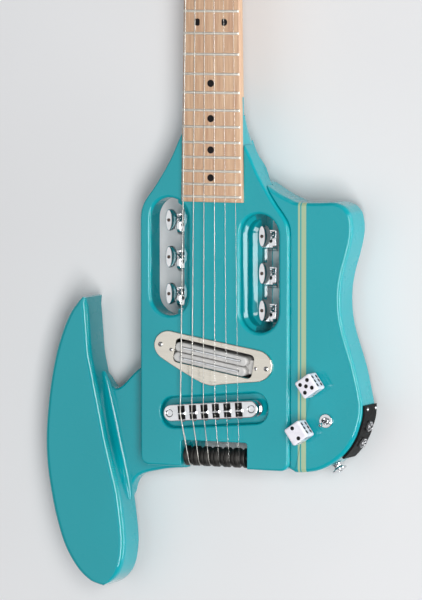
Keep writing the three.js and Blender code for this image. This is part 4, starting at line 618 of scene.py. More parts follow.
def winding(name, shade, pitch):
    """Wound wire: fine rings along the string, with painted shade darkening the grooves between the turns."""
    f = Finish(name, Metallic=1.0, Roughness=0.32)
    axes = f.add("ShaderNodeSeparateXYZ", {"Vector": f.place})
    rings = f.math("SINE", f.math("MULTIPLY", axes.outputs["Y"], TAU / (pitch * MM)))
    f.feed("Base Color", f.ramp(f.range(rings, 0, 1, -1, 1), (0.2, darker(shade, 0.5)), (0.8, shade)))
    f.bump(rings, 0.00005, 0.6)
    return f.material


TEAL = lacquer("teal_lacquer")
TEAL_STRIPED = lacquer("teal_lacquer_striped", striped=True)
BOARD_WOOD = maple("maple_board", colour(220, 185, 150), colour(184, 140, 112))
NECK_WOOD = maple("maple_neck", colour(222, 186, 150), colour(190, 148, 112))
CHROME = metal("chrome", colour(228, 229, 231), 0.05, 0.12)
RING_STEEL = metal("polished_steel", colour(226, 220, 208), 0.2, 0.3, scale=60, stretch=(0.4, 3, 1))
STEEL = metal("steel", colour(188, 188, 190), 0.22, 0.38, scale=200)
# Painted shade: brown for the bottoms of the pickup screws' cross recesses
SCREW_RECESS_SHADE = plastic("screw_recess_painted_shade", colour(74, 48, 44), colour(50, 34, 32), 0.5, 0.6)
# Darkened steel: painted shade on the screws in the tuner buttons' hollows; the intonation screws' heads
# share it
SHADED_STEEL = metal("steel_darkened_as_shade", colour(112, 98, 92), 0.3, 0.45, scale=300)
FRET_WIRE = metal("fret_wire", colour(253, 248, 238), 0.52, 0.62, scale=300)
BLACK_METAL = metal("black_metal", colour(78, 76, 74), 0.42, 0.55, scale=500, stretch=(6, 1, 1))
BLACK_PLASTIC = plastic("black_plastic", colour(12, 12, 13), colour(6, 6, 7), 0.5, 0.62, 400, shine=0.15)
# Painted shade: a flat near-black finish for the saddle windows of the bridge and the sheet lining the
# pickup's cavity
GAP_SHADE = plastic("painted_gap_shade", colour(18, 18, 19), colour(10, 10, 11), 0.6, 0.75)
WHITE_PLASTIC = plastic("white_plastic", colour(236, 233, 240), colour(226, 222, 232), 0.22, 0.32, coat=0.4)
PIP_BLACK = plastic("pip_paint", colour(24, 20, 22), colour(12, 10, 12), 0.4, 0.5, scale=600, shine=0.2)
GREY_COIL = plastic("coil_cover_grey", colour(208, 206, 203), colour(192, 191, 189), 0.4, 0.55)
BONE = plastic("bone", colour(238, 230, 208), colour(224, 214, 190), 0.3, 0.42, scale=220, coat=0.2)
STRING_WIRE = metal("plain_string", colour(214, 212, 208), 0.16, 0.26, scale=500)
WOUND_WIRE = winding("wound_string", colour(236, 232, 224), 0.5)

# The few nodes that stay visible, inside the neck and the wing, get their finish here
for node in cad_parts.values():
    node.data.materials.clear()
    node.data.materials.append(STEEL)


# Body

def bridge_spot(x, across=0.0):
    """Where a point of the bridge's own axes lies: x and distance from the nut."""
    c, s = cos(BRIDGE_TILT), sin(BRIDGE_TILT)
    return x * c - across * s, BRIDGE_PLACE - (x * s + across * c)


# Length, width and corner radius of the openings in the cap
BRIDGE_ROOM = (100, 26.4, 12)
PICKUP_ROOM = (87.2, 20.6, 2.7)
ROLLER_ROOM = (ROLLER_SLOT_WIDTH, 60, 2.4)
# How far the pickup's cavity sits nearer the head than the pickup's own middle
CAVITY_SHIFT = 0.9
TROUGH_MOUTH_START = 608
TROUGH_MOUTH_TOP = 32
ARM_SLOT_RADIUS = 3.1


def front_cap():
    half = board_half_width(BOARD_LENGTH)
    below, above = CAP_BOTTOM - 2, FACE + 2
    slots = [pit(placed(slot_shape(SLOT_LENGTH, SLOT_WIDTH), side * SLOT_OFFSET, place), below, rim=3.2)
             for side, place in FINGER_SLOTS]
    rollers_room = placed(rounded_box(*ROLLER_ROOM), 0, ROLLER_SLOT_START + ROLLER_ROOM[1] / 2)
    bridge_room = placed(rounded_box(*BRIDGE_ROOM), 0, BRIDGE_PLACE, BRIDGE_TILT)
    pickup_room = [p + np.array([0, CAVITY_SHIFT]) for p in rounded_box(*PICKUP_ROOM)]
    tools = [*slots, box((-half, half), (SHOULDER_START - 3, SHOULDER_START + TENON_LENGTH), (below, above)),
             pit(rollers_room, below, rim=0.9), pit(bridge_room, RECESS_FLOOR, rim=1.8, floor_round=1.6),
             plate(placed(pickup_room, 0, PICKUP_PLACE, PICKUP_TILT), [(0, 29.8), (0, above)]),
             box((-HALF_TROUGH, HALF_TROUGH), (TROUGH_MOUTH_START, ROLLER_SLOT_START + 1),
                 (below, TROUGH_MOUTH_TOP)),
             moved(rod(3, 23, 32.3), -THUMBSCREW_OFFSET, THUMBSCREW_PLACE),
             moved(along_x(rod(3, -38, 38)), 0, ROLLER_PLACE, ROLLER_HEIGHT)]
    tools += [moved(rod(3.5, 25.3, above), *bridge_spot(side * BRIDGE_POST_OFFSET)) for side in (-1, 1)]
    cap = plate(cap_outline(), rounding(CAP_BOTTOM, FACE, 0.6, 2.2))
    piece("front_cap_lacquered", cap, TEAL, "teal_lacquer", tools, stands_for=["front_cap"])


# Two sloping steps, as insets from the slot's wall and heights
COVE_ROWS = [
    (8.6, 24.8), (7.8, 25.05), (4.5, 26.8), (4.0, 27.4), (3.8, 28.6), (3.8, 36.0), (3.65, 36.35),
    (3.35, 36.55), (0.6, 38.0), (0.15, 38.6), (0, 39.8)]


def slot_coves():
    """Hollow curves from the walls of the finger slots down to the beam, beside the trough."""
    slot = slot_shape(SLOT_LENGTH, SLOT_WIDTH)
    cutter = plate(slot, [(COVE_ROWS[0][0], BEAM_TOP - 1)] + COVE_ROWS + [(0, FACE)])
    body = plate(slot, [(-0.01, BEAM_TOP + 0.05), (-0.01, COVE_ROWS[-1][1] - 0.05)])
    coves = []
    for side, place in FINGER_SLOTS:
        beyond = box(sorted((side * (HALF_BEAM - SLOT_OFFSET), side * SLOT_WIDTH)), (-60, 60), (0, FACE))
        coves.append(moved(carved(body, cutter, beyond), side * SLOT_OFFSET, place))
    piece("slot_coves", together(*coves), TEAL, "teal_lacquer")


HOLLOW_WALL = 9
HOLLOW_SIDE = 73.8
HOLLOW_START, HOLLOW_END = 590, 668


def hollow_outline(wall):
    """The outline of the wing's hollow with that much wall outside it."""
    wider = HOLLOW_WALL - wall
    side, start, end = HOLLOW_SIDE - wider, HOLLOW_START - wider, HOLLOW_END + wider
    edge = [p for p in grown(wing_outline(), -wall) if p[0] > side and start < -p[1] < end]
    edge.sort(key=lambda p: -p[1])
    first, last = np.array([edge[0][0], -start]), np.array([edge[-1][0], -end])
    return [flat(side, start), first] + edge + [last, flat(side, end)]


def treble_wing():
    half_slot = SLOT_LENGTH / 2
    tools = [plate(grown(cap_outline(), WING_GROOVE), [(0, BEAM_TOP), (0, FACE + 2)]),
             box((0, SLOT_OFFSET + SLOT_WIDTH / 2 + 2),
                 (TREBLE_SLOT_PLACE - half_slot, TREBLE_SLOT_PLACE + half_slot), (0, FACE)),
             plate(hollow_outline(HOLLOW_WALL), [(0, 0), (0, 36)]),
             plate(hollow_outline(5), [(0, 0), (0, 11.6)])]
    tools += [moved(rod(radius, 1, FACE), *spot)
              for radius, spot in ((4, VOLUME_KNOB_PLACE), (4, TONE_KNOB_PLACE), (3.6, SWITCH_PLACE))]
    tools += [on_edge(rod(3.7, -21, 4), place) for _, place in JACKS]
    wing = plate(wing_outline(), rounding(WING_BOTTOM, WING_TOP, 3, 3.6, 7))
    piece("treble_wing_lacquered", wing, TEAL_STRIPED, "teal_lacquer", tools, stands_for=["treble_wing"])


def on_edge(data, distance, height=JACK_HEIGHT):
    """Stands a piece made round z on the wing's edge, pointing outwards."""
    (x, y), (u, v) = edge_place(distance)
    return transformed(data, Matrix(((-v, 0, u, x), (u, 0, v, y), (0, 1, 0, height), (0, 0, 0, 1))))


CRESCENT_ROUND = 5.2
CRESCENT_END_ROUND = 2.4


def crescent():
    outer = spline([armrest_point(a) for a, _ in CRESCENT_SHARES], 6)
    inner = spline([armrest_point(b) for _, b in CRESCENT_SHARES], 6)
    half_depth, steps = (FACE - ARMREST_BOTTOM) / 2, 7
    rings = []
    for a, b in zip(outer, inner):
        half = np.linalg.norm(b - a) / 2
        across = (b - a) / (2 * half)
        corner = min(CRESCENT_ROUND, half * 0.92)
        ring = []
        for quarter, (sx, sz) in enumerate(((1, 1), (-1, 1), (-1, -1), (1, -1))):
            for k in range(steps + 1):
                angle = pi / 2 * (quarter + k / steps)
                x = sx * (half - corner) + corner * cos(angle)
                z = sz * (half_depth - corner) + corner * sin(angle)
                spot = (a + b) / 2 + across * x
                ring.append((spot[0], spot[1], ARMREST_BOTTOM + half_depth + z))
        rings.append(np.array(ring))
    start = crescent_end(rings[0], rings[1])
    finish = crescent_end(rings[-1], rings[-2])
    return ringed(start + rings[1:-1] + finish[::-1])


def crescent_end(last, before):
    """Rings that round the crescent's end over, from its flat to its sides."""
    middle = last.mean(axis=0)
    inward = before.mean(axis=0) - middle
    length = np.linalg.norm(inward)
    radius = min(CRESCENT_END_ROUND, 0.45 * length, 0.5 * np.abs(last - middle).max())
    reach = np.linalg.norm(last - middle, axis=1)[:, None]
    rings = []
    for angle in (pi / 2 * k / 5 for k in range(6)):
        depth = radius * (1 - cos(angle))
        centre = middle + inward / length * depth
        base = last + (before - last) * depth / length
        rings.append(centre + (base - centre) * (1 - radius * (1 - sin(angle)) / reach))
    return rings


FILLET_START, FILLET_END = 606, 717
FILLET_RADIUS = 7.5


def root_fillet():
    """The hollow curve between the crescent's inner wall and the arm's face."""
    inner = spline([armrest_point(b) for _, b in CRESCENT_SHARES], 12)
    path = [p for p in inner if FILLET_START <= -p[1] <= FILLET_END]
    rings = []
    for k, p in enumerate(path):
        along = path[min(k + 1, len(path) - 1)] - path[max(k - 1, 0)]
        out = np.array([-along[1], along[0]]) / np.linalg.norm(along)
        share = (-p[1] - FILLET_START) / (FILLET_END - FILLET_START)
        radius = 0.6 + (FILLET_RADIUS - 0.6) * sin(pi * share) ** 0.5
        section = [(-1.5, 22.5), (radius, 22.5)]
        section += [(radius - radius * sin(a), ARM_TOP + radius - radius * cos(a))
                    for a in [pi / 2 * j / 8 for j in range(9)]]
        section.append((-1.5, ARM_TOP + radius))
        rings.append([(p[0] + out[0] * u, p[1] + out[1] * u, z) for u, z in section])
    return ringed(rings)


def armrest():
    arm = plate(arm_outline(), rounding(ARM_BOTTOM, ARM_TOP, 3, 3))
    body = combine(object_of("armrest_lacquered", crescent()), [arm, root_fillet()], "UNION")
    sides = THUMBSCREW_PLACE - ARM_SLOT_RADIUS, THUMBSCREW_PLACE + ARM_SLOT_RADIUS
    slot = box((-THUMBSCREW_OFFSET, 0), sides, (0, FACE))
    end = moved(rod(ARM_SLOT_RADIUS, 0, FACE), -THUMBSCREW_OFFSET, THUMBSCREW_PLACE)
    finish_piece(combine(body, [slot, end]), TEAL, "teal_lacquer", body="armrest", stands_for=["armrest"])


# Place as a share of the head's length, and the exponent of the oval back
HEAD_SHARES = [(-1, 3.2), (-0.2, 3), (1, 2.3)]
# Place as a share of the heel's length, depth from the neck's to the full one, and the exponent
HEEL_SHARES = [(0, 0, 2.3), (0.25, 0.14, 2.6), (0.5, 0.41, 3.4), (0.8, 0.77, 5), (1.24, 0.84, 8)]
# Place as a share of the heel's length, width from the neck's to the beam's, and the underside's height
BEAM_NOSE_SHARES = [(0.6, -0.1, 0.72), (0.8, 0, 0.36), (1, 0.5, 0.08), (1.32, 1, 0)]
ROD_CHANNEL_END = 400.3
ROD_CHANNEL_FLOOR = 35.4


def neck_core():
    sections = [np.array([HEAD_LENGTH * a, NECK_DEPTH, q]) for a, q in HEAD_SHARES]
    sections += [np.array([HEEL_START + HEEL_LENGTH * a, NECK_DEPTH + (FACE - NECK_DEPTH) * d, q])
                 for a, d, q in HEEL_SHARES]
    rings = []
    for distance, depth, q in spline(sections, 6):
        half, ring = board_half_width(distance) - 0.3, []
        for k in range(37):
            across, down = cos(pi * k / 36), sin(pi * k / 36)
            ring.append((half * copysign(abs(across) ** (2 / q), across), -distance,
                         FACE - depth * abs(down) ** (2 / q)))
        rings.append(ring)
    narrow = board_half_width(HEEL_START) - 0.3
    beam_rings = []
    rows = [np.array([HEEL_START + HEEL_LENGTH * a, w, up]) for a, w, up in BEAM_NOSE_SHARES]
    for distance, wider, up in spline(rows, 6) + [np.array([BODY_END, 1, 0])]:
        half, bottom = narrow + (HALF_BEAM - narrow) * wider, BEAM_TOP * max(up, 0)
        ring = [(half, BEAM_TOP)]
        for side in (1, -1):
            for k in range(7):
                angle = pi / 2 * ((k if side > 0 else 6 - k) / 6)
                ring.append((side * (half - BEAM_EDGE + BEAM_EDGE * cos(angle)),
                             bottom + BEAM_EDGE - BEAM_EDGE * sin(angle)))
        ring.append((-half, BEAM_TOP))
        beam_rings.append([(x, -distance, z) for x, z in ring])
    core = combine(object_of("neck_and_beam", ringed(rings)), [ringed(beam_rings)], "UNION")
    trough = box((-HALF_TROUGH, HALF_TROUGH), (TROUGH_START, BODY_END + 2), (-1, BEAM_TOP + 1))
    channel = box((-4.3, 4.3), (-HEAD_LENGTH - 1, ROD_CHANNEL_END), (ROD_CHANNEL_FLOOR, FACE + 1))
    holes = [moved(along_x(rod(3.5, -6, 6)), side * 32.4, distance + TUNER_POST_SHIFT, TUNER_POST_LEVEL)
             for side, distance in tuner_places()]
    finish_piece(combine(core, [trough, channel] + holes), NECK_WOOD, "maple", stands_for=["neck_core"])
    core.data.materials.append(TEAL)
    painted_from = ORIGIN.y - HEEL_START * MM
    for face in core.data.polygons:
        face.material_index = int(face.center.y < painted_from)


# Fretboard, frets and dots

CAMBER_RADIUS = 305
BOARD_EDGE = 1.2
FRET_HALF_WIDTH = 1.2
DOT_OFFSET = 12.2
DOTTED_FRETS = (3, 5, 7, 9, 12, 15, 17, 19, 21)


def board_level(x):
    return BOARD_TOP - x * x / (2 * CAMBER_RADIUS)


def fretboard():
    rings = []
    for distance in [0.3, 0.9] + [40 * k for k in range(1, 12)] + [BOARD_LENGTH - 0.8, BOARD_LENGTH]:
        half = board_half_width(distance)
        lip = 0.6 if distance in (0.3, BOARD_LENGTH) else 0
        right = [(half - 0.3, FACE), (half, FACE + 0.3)]
        right += [(half - BOARD_EDGE * (1 - cos(a)), board_level(half) - lip - BOARD_EDGE * (1 - sin(a)))
                  for a in [pi / 8 * k for k in range(5)]]
        right += [(half * t, board_level(half * t) - lip) for t in (0.8, 0.55, 0.3)]
        ring = right + [(0, BOARD_TOP - lip)] + [(-x, z) for x, z in right[::-1]]
        rings.append([(x, -distance, z) for x, z in ring])
    piece("fretboard_wood", ringed(rings[::-1]), BOARD_WOOD, "maple", stands_for=["fretboard"])


def frets():
    bars = []
    for fret in range(1, FRET_COUNT + 1):
        distance = fret_distance(fret)
        half = board_half_width(distance) - 0.5
        rows = []
        for share in (-1, -0.985, -0.95, -0.5, 0, 0.5, 0.95, 0.985, 1):
            low = {1: 0.75, 0.985: 0.3}.get(abs(share), 0)
            crown = [(FRET_HALF_WIDTH * cos(a), (1.0 - low) * sin(a)) for a in [pi * k / 8 for k in range(9)]]
            profile = [(FRET_HALF_WIDTH, -0.4)] + crown + [(-FRET_HALF_WIDTH, -0.4)]
            rows.append([(half * share, -distance + y, board_level(half * share) + z) for y, z in profile])
        bars.append(ringed(rows[::-1]))
    piece("frets", together(*bars), FRET_WIRE, "steel")


def position_dots():
    dots = []
    for fret in DOTTED_FRETS:
        middle = (fret_distance(fret - 1) + fret_distance(fret)) / 2
        for x in ((-DOT_OFFSET, DOT_OFFSET) if fret == 12 else (0,)):
            level = board_level(x)
            dots.append(moved(turned([(0, level - 0.5), (3.1, level - 0.5), (3.1, level + 0.02),
                                      (2.9, level + 0.06), (0, level + 0.06)], 24), x, middle))
    piece("position_dots", together(*dots), PIP_BLACK, "black_plastic")


# Screws

def screw(radius, height, seat=2.0):
    """A pan head with a cross recess, standing on z 0, with a piece of its shank below."""
    head = [(0, -seat), (radius * 0.5, -seat), (radius * 0.5, 0.02), (radius, 0), (radius, height * 0.35),
            (radius * 0.9, height * 0.7), (radius * 0.62, height * 0.93), (radius * 0.3, height), (0, height)]
    return carved(turned(head, 24), *recess(radius, height * 0.3, height + 1))


def recess(radius, low, high):
    reach, half = radius * 0.6, radius * 0.18
    return box((-reach, reach), (-half, half), (low, high)), box((-half, half), (-reach, reach), (low, high))


SMALL_SCREW = screw(1.5, 0.9)
PLATE_SCREW = screw(2.1, 1.2)
# Crosses at the bottom of the screws' recesses, which carry the painted shade
SMALL_SHADE_CROSS = together(*recess(1.5, 0.2, 0.5))
PLATE_SHADE_CROSS = together(*recess(2.1, 0.3, 0.6))


# Head end and strings

NUT_STRING_LEVEL = BOARD_TOP + 1.6
NUT_TOP = NUT_STRING_LEVEL + STRING_DIAMETERS[0]
ANCHOR_TOP = FACE + 7.5
ANCHOR_BORE_LEVEL = FACE + 4
BALL_PLACE = -21.2
STRING_CLEARANCE = 0.2
ROLLER_GROOVE_RADIUS = 7.1
TUNER_POST_RADIUS = 3
SADDLE_TOP = 53
# The windings of the strings on the posts
WRAP_OFFSET = 24.5
WRAP_SPACING = 5.5
WRAP_PITCH = 1.7
WRAP_STEPS = 32


def string_x(spread, i):
    return spread * (i / 5 - 0.5)


def rod_along_neck(radius, start, end, x, z):
    return moved(along_neck(rod(radius, start, end, 20)), x, 0, z)


def nut_and_anchor():
    grooves = [box([string_x(NUT_STRING_SPREAD, i) + e for e in (-d / 2 - 0.12, d / 2 + 0.12)], (-6, 1),
                   (NUT_STRING_LEVEL - 0.1, NUT_TOP + 1)) for i, d in enumerate(STRING_DIAMETERS)]
    body = moved(plate(rounded_box(NUT_WIDTH, 5, 0.7), rounding(FACE, NUT_TOP, 0, 0.65)), 0, -2.5)
    piece("bone_nut", body, BONE, "bone", grooves, stands_for=["nut"])
    block = moved(plate(rounded_box(39, 14, 1.5), rounding(FACE, ANCHOR_TOP, 0, 1.1)), 0, -17)
    holes = [rod_along_neck(radius, -25, end, string_x(NUT_STRING_SPREAD, i), ANCHOR_BORE_LEVEL)
             for i in range(6) for radius, end in ((1.14, -9), (2.8, -19))]
    piece("anchor_block", block, STEEL, "steel", holes, stands_for=["string_anchor"])
    screws = [moved(PLATE_SCREW, x, -14, ANCHOR_TOP) for x in (-14.4, 14.4)]
    piece("anchor_screws", together(*screws), STEEL, "steel")


def touch_angle(point, centre, radius):
    """The angle where a line from a point touches a circle."""
    offset = point - centre
    return atan2(offset[1], offset[0]) % TAU + acos(radius / np.linalg.norm(offset))


def string_route(i):
    lift = STRING_CLEARANCE + STRING_DIAMETERS[i] / 2
    side = -1 if i < 3 else 1
    inward = i if side < 0 else 5 - i
    distance = tuner_places()[(0 if side < 0 else 3) + 2 - inward][1]
    roller = np.array([-ROLLER_PLACE, ROLLER_HEIGHT])
    post = np.array([-(distance + TUNER_POST_SHIFT), TUNER_POST_LEVEL])
    roller_radius, post_radius = ROLLER_GROOVE_RADIUS + lift, TUNER_POST_RADIUS + lift
    nut_x, bridge_x = string_x(NUT_STRING_SPREAD, i), string_x(BRIDGE_STRING_SPREAD, i)
    level = NUT_STRING_LEVEL + STRING_DIAMETERS[i] / 2
    saddle = np.array([-(BRIDGE_PLACE - SADDLE_HOME - bridge_x * tan(BRIDGE_TILT)), SADDLE_TOP + lift])
    points = [(nut_x, -BALL_PLACE, ANCHOR_BORE_LEVEL), (nut_x, 9.7, ANCHOR_BORE_LEVEL), (nut_x, 5, level),
              (nut_x, 0, level), (bridge_x, saddle[0], saddle[1])]
    link = post - roller
    spread = acos((roller_radius + post_radius) / np.linalg.norm(link))
    heading = atan2(link[1], link[0]) % TAU
    first = touch_angle(saddle, roller, roller_radius)
    sweep = (heading - spread - first) % TAU
    for k in range(25):
        angle = first + sweep * k / 24
        points.append((ROLLER_PITCH * (i - 2.5), roller[0] + roller_radius * cos(angle),
                       roller[1] + roller_radius * sin(angle)))
    start = heading + pi - spread
    wrap_x = side * (WRAP_OFFSET - WRAP_SPACING * inward)
    for k in range(2 * WRAP_STEPS + 1):
        angle, turns = start - TAU * k / WRAP_STEPS, k / WRAP_STEPS
        points.append((wrap_x - side * WRAP_PITCH * turns, post[0] + post_radius * cos(angle),
                       post[1] + post_radius * sin(angle)))
    return points


BALL_PROFILE = [(0, -1.5), (1.6, -1.5), (1.9, -1.1), (1.4, 0), (1.9, 1.1), (1.6, 1.5), (0, 1.5)]


def strings():
    for i, diameter in enumerate(STRING_DIAMETERS):
        ball = along_x(turned(BALL_PROFILE, 20))
        ball = moved(ball, string_x(NUT_STRING_SPREAD, i), BALL_PLACE, ANCHOR_BORE_LEVEL)
        wire = tube(string_route(i), diameter / 2, 10)
        piece(f"string_{i + 1}_wire", together(wire, ball), WOUND_WIRE if i < 3 else STRING_WIRE, "steel",
              stands_for=[f"guitar_string_{i + 1}"], crease=60)


# Pickup

RING_SHARES = [
    (-0.501, 0.23), (-0.489, 0.34), (-0.464, 0.419), (-0.423, 0.48), (-0.37, 0.5), (-0.271, 0.458),
    (0.205, 0.268), (0.386, 0.197), (0.437, 0.154), (0.475, 0.079), (0.496, -0.02), (0.499, -0.118),
    (0.488, -0.217), (0.458, -0.309), (0.416, -0.368), (0.367, -0.397), (0.205, -0.434), (0.044, -0.48),
    (-0.01, -0.5), (-0.073, -0.471), (-0.129, -0.417), (-0.272, -0.243), (-0.428, -0.031), (-0.471, 0.05),
    (-0.493, 0.136)]
RING_LENGTH = 110
RING_WIDTH = 45.6
RING_TOP = FACE + 2.2
# The opening is wider than the coils at the head's side and the treble side, where a black gap shows
OPENING = [p + 0.7 for p in rounded_box(74.2, 20.6, 4.2)]
# How far coils and blades sit nearer the bass side than the pickup's own middle
COIL_SHIFT = -0.9


def at_pickup(data, x=0.0, y=0.0):
    c, s = cos(PICKUP_TILT), sin(PICKUP_TILT)
    return moved(data, x * c - y * s, PICKUP_PLACE - (x * s + y * c), 0, PICKUP_TILT)


def pickup():
    outline = closed([np.array([RING_LENGTH * a, RING_WIDTH * u]) for a, u in RING_SHARES], 4)
    outline = placed(outline, 0, PICKUP_PLACE)
    opening = pit(placed(OPENING, 0, PICKUP_PLACE, PICKUP_TILT), FACE - 1, rim=0.3, top=RING_TOP)
    piece("ring_plate", plate(outline, rounding(FACE, RING_TOP, 0, 0.7)), RING_STEEL, "chrome", [opening],
          stands_for=["pickup_ring"])
    # The crosses in the screws' recesses get the brown painted shade
    marks = []
    for name, head, mark, spots in (
            ("ring_screws", PLATE_SCREW, PLATE_SHADE_CROSS, ((-48.9, 579.1), (49.7, 596.7))),
            ("height_screws", SMALL_SCREW, SMALL_SHADE_CROSS, ((-38.9, 583.3), (39.9, 596.9)))):
        piece(name, together(*[moved(head, *spot, RING_TOP) for spot in spots]), CHROME, "chrome")
        marks += [moved(mark, *spot, RING_TOP) for spot in spots]
    piece("pickup_screw_recess_shade", together(*marks), SCREW_RECESS_SHADE, "black_plastic")
    # A thin dark sheet lining the pickup's cavity: painted shade in the gap round the coils
    liner = carved(moved(plate(rounded_box(86.8, 20.2, 2.5), [(0, 29.9), (0, FACE - 0.1)]), 0, -CAVITY_SHIFT),
                   moved(plate(rounded_box(85.9, 19.3, 2.2), [(0, 30.9), (0, FACE + 2)]), 0, -CAVITY_SHIFT))
    piece("pickup_cavity_shade_sheet", at_pickup(liner), GAP_SHADE, "black_plastic")
    ears = plate(rounded_box(84, 12, 4), rounding(40, 41.6, 0, 0.3))
    bars, blades = [], []
    for side in (-1, 1):
        groove = box((-28.3, 28.3), (-side * 0.2 - 1, -side * 0.2 + 1), (48.6, 53))
        bar = plate([p[::-1] for p in slot_shape(68, 8, 16)], rounding(31, 50, 0, 1.5))
        bars.append(moved(carved(bar, groove), COIL_SHIFT, -side * 4.3))
        blade = plate(rounded_box(56, 1.5, 0.7), rounding(47, 51.3, 0, 0.35))
        blades.append(moved(blade, COIL_SHIFT, -side * 4.5))
    piece("coil_covers", at_pickup(together(ears, *bars)), GREY_COIL, "steel", stands_for=["pickup_housing"])
    piece("blades", at_pickup(together(*blades)), CHROME, "steel", stands_for=["pickup_core"])


# Bridge

BRIDGE_LENGTH = 88.4
BRIDGE_WALL = 7.25
WINDOW_WIDTH = 6.6
WINDOW_LENGTH = 12
SADDLE_HOME = -0.8
SADDLE_SCREW_LEVEL = 48.85
SADDLE_PROFILE = [(-1.6, 46.6), (1.6, 46.6), (1.6, 51.2), (1.2, 52), (0.7, 52.8), (0.3, 53), (-0.3, 53),
                  (-0.7, 52.8), (-1.2, 52), (-1.6, 51.2)]
POST_PROFILE = [(0, 25.6), (2.7, 25.6), (3, 26), (3, 42.1), (3.1, 42.1), (3.1, 44.5), (3, 44.6), (3, 50.7),
                (2.7, 51.1), (0, 51.1)]
SCREW_HEAD_PROFILE = [(0, -0.2), (1.2, -0.2), (1.2, 0.5), (0.9, 0.75), (0, 0.75)]


def at_bridge(data, x=0.0, across=0.0):
    return moved(data, *bridge_spot(x, across), 0, BRIDGE_TILT)


def bridge():
    outline = [p[::-1] for p in slot_shape(BRIDGE_LENGTH, 2 * BRIDGE_WALL, 20)]
    body = plate(outline, rounding(BRIDGE_BOTTOM, BRIDGE_TOP, 0.5, 1.0))
    places = [string_x(BRIDGE_STRING_SPREAD, i) for i in range(6)]
    tools = [box([x - WINDOW_WIDTH / 2, x + WINDOW_WIDTH / 2], (-WINDOW_LENGTH / 2, WINDOW_LENGTH / 2),
                 (46.3, BRIDGE_TOP + 2)) for x in places]
    tools += [moved(rod(3.45, 40, 60), side * BRIDGE_POST_OFFSET) for side in (-1, 1)]
    body = at_bridge(carved(body, *tools))
    bar = piece("bridge_casting", body, CHROME, "chrome", stands_for=["bridge_bar"])
    # The walls and floors of the saddle windows take the dark finish: painted shade inside the windows
    bar.data.materials.append(GAP_SHADE)
    c, s = cos(BRIDGE_TILT), sin(BRIDGE_TILT)
    for face in bar.data.polygons:
        x, y, level = (face.center - ORIGIN) / MM
        y += BRIDGE_PLACE
        inside = abs(y * c - x * s) < 6.05 and abs(x * c + y * s) < 32 and 46 < level < BRIDGE_TOP - 0.1
        face.material_index = int(inside)
    post = carved(turned(POST_PROFILE), box((-4, 4), (-0.45, 0.45), (49.8, 52)))
    wheel = knurled([(6.9, 42.1), (7.3, 42.4), (7.3, 44.2), (6.9, 44.5)], 64, 0.25, 42.3, 44.3)
    for side, name in SIDES:
        piece(f"post_{name}", at_bridge(together(post, wheel), side * BRIDGE_POST_OFFSET), CHROME, "chrome",
              stands_for=[f"bridge_post_{name}"])
    rings = [[(u, y, z) for y, z in SADDLE_PROFILE] for u in (-3.1, 3.1)]
    saddle = carved(ringed(rings), moved(along_neck(rod(0.6, -3, 3, 12)), 0, 0, 53.35))
    for i, x in enumerate(places):
        name = f"saddle_{i + 1}"
        block = at_bridge(saddle, x, SADDLE_HOME)
        piece(f"{name}_block", block, CHROME, "chrome", body=name, stands_for=[name])
    head = moved(along_neck(turned(SCREW_HEAD_PROFILE, 20)), 0, 0, SADDLE_SCREW_LEVEL)
    heads = [at_bridge(head, x, -BRIDGE_WALL) for x in places]
    piece("intonation_screws", together(*heads), SHADED_STEEL, "steel")


# Rollers

ROLLER_PROFILE = [
    (2.95, -4.5), (8.1, -4.5), (8.5, -4.15), (8.5, -2.4), (8.1, -2.0), (7.35, -1.3), (7.1, -0.7),
    (7.1, 0.7), (7.35, 1.3), (8.1, 2.0), (8.5, 2.4), (8.5, 4.15), (8.1, 4.5), (2.95, 4.5)]
AXLE_PROFILE = [(0, -36.8), (2.2, -36.8), (2.5, -36.5), (2.5, 36.5), (2.2, 36.8), (0, 36.8)]


def rollers():
    wheel = along_x(turned(ROLLER_PROFILE, 56))
    for i in range(6):
        data = moved(wheel, ROLLER_PITCH * (i - 2.5), ROLLER_PLACE, ROLLER_HEIGHT)
        piece(f"roller_{i + 1}_wheel", data, BLACK_METAL, "black_metal", body=f"roller_{i + 1}",
              stands_for=[f"string_roller_{i + 1}"])
    axle = moved(along_x(turned(AXLE_PROFILE, 28)), 0, ROLLER_PLACE, ROLLER_HEIGHT)
    piece("axle", axle, STEEL, "steel", stands_for=["roller_axle"])


# Tuners, whose buttons have an oval by height and half lengths

BUTTON_ROWS = [(27.5, 1.9, 2.2), (28.5, 2.6, 4.4), (30.0, 3.05, 7.0), (32.2, 3.25, 8.7), (35, 3.3, 9.3),
               (38, 3.3, 9.35), (40.0, 3.2, 9.2), (40.6, 3.05, 9.0), (41, 2.6, 8.5)]
SPINDLE_PROFILE = [(0, 6.55), (2.3, 6.55), (2.3, 17.05), (1.7, 17.05), (1.7, 19.3), (3.2, 19.3), (3.2, 21.2),
                   (2.7, 21.7), (1.7, 21.9), (1.7, 28.5), (0, 28.5)]
WINDING_PROFILE = [(0, 7.4), (3.9, 7.4), (4.2, 7.7), (4.2, 8.6), (3, 8.8), (3, 43.4), (0, 43.4)]
HOUSING_MIDDLE = 11.8
HOUSING_DEPTH = 10.4


def tuner_housing():
    """A rounded case on the beam's side with room for worm, gear and post, and a hole for its screw."""
    outline = [np.array([4, -7.2]), np.array([4, 7.2])] + arc(-7.2, 0, 7.2, 90, 270, 24)
    return carved(facing_x(plate(outline, rounding(0, HOUSING_DEPTH, 0, 1.1))),
                  box((-1, 9.3), (-2.9, 13.3), (-5.55, 5.55)), box((-1, 6.6), (-5, 16), (6.2, 8)),
                  moved(rod(1.75, -10, 20), 6.7), moved(rod(1.7, 3, 9), 4.6, 5.2),
                  moved(rod(0.7, 3, 9), 3.4, -1))


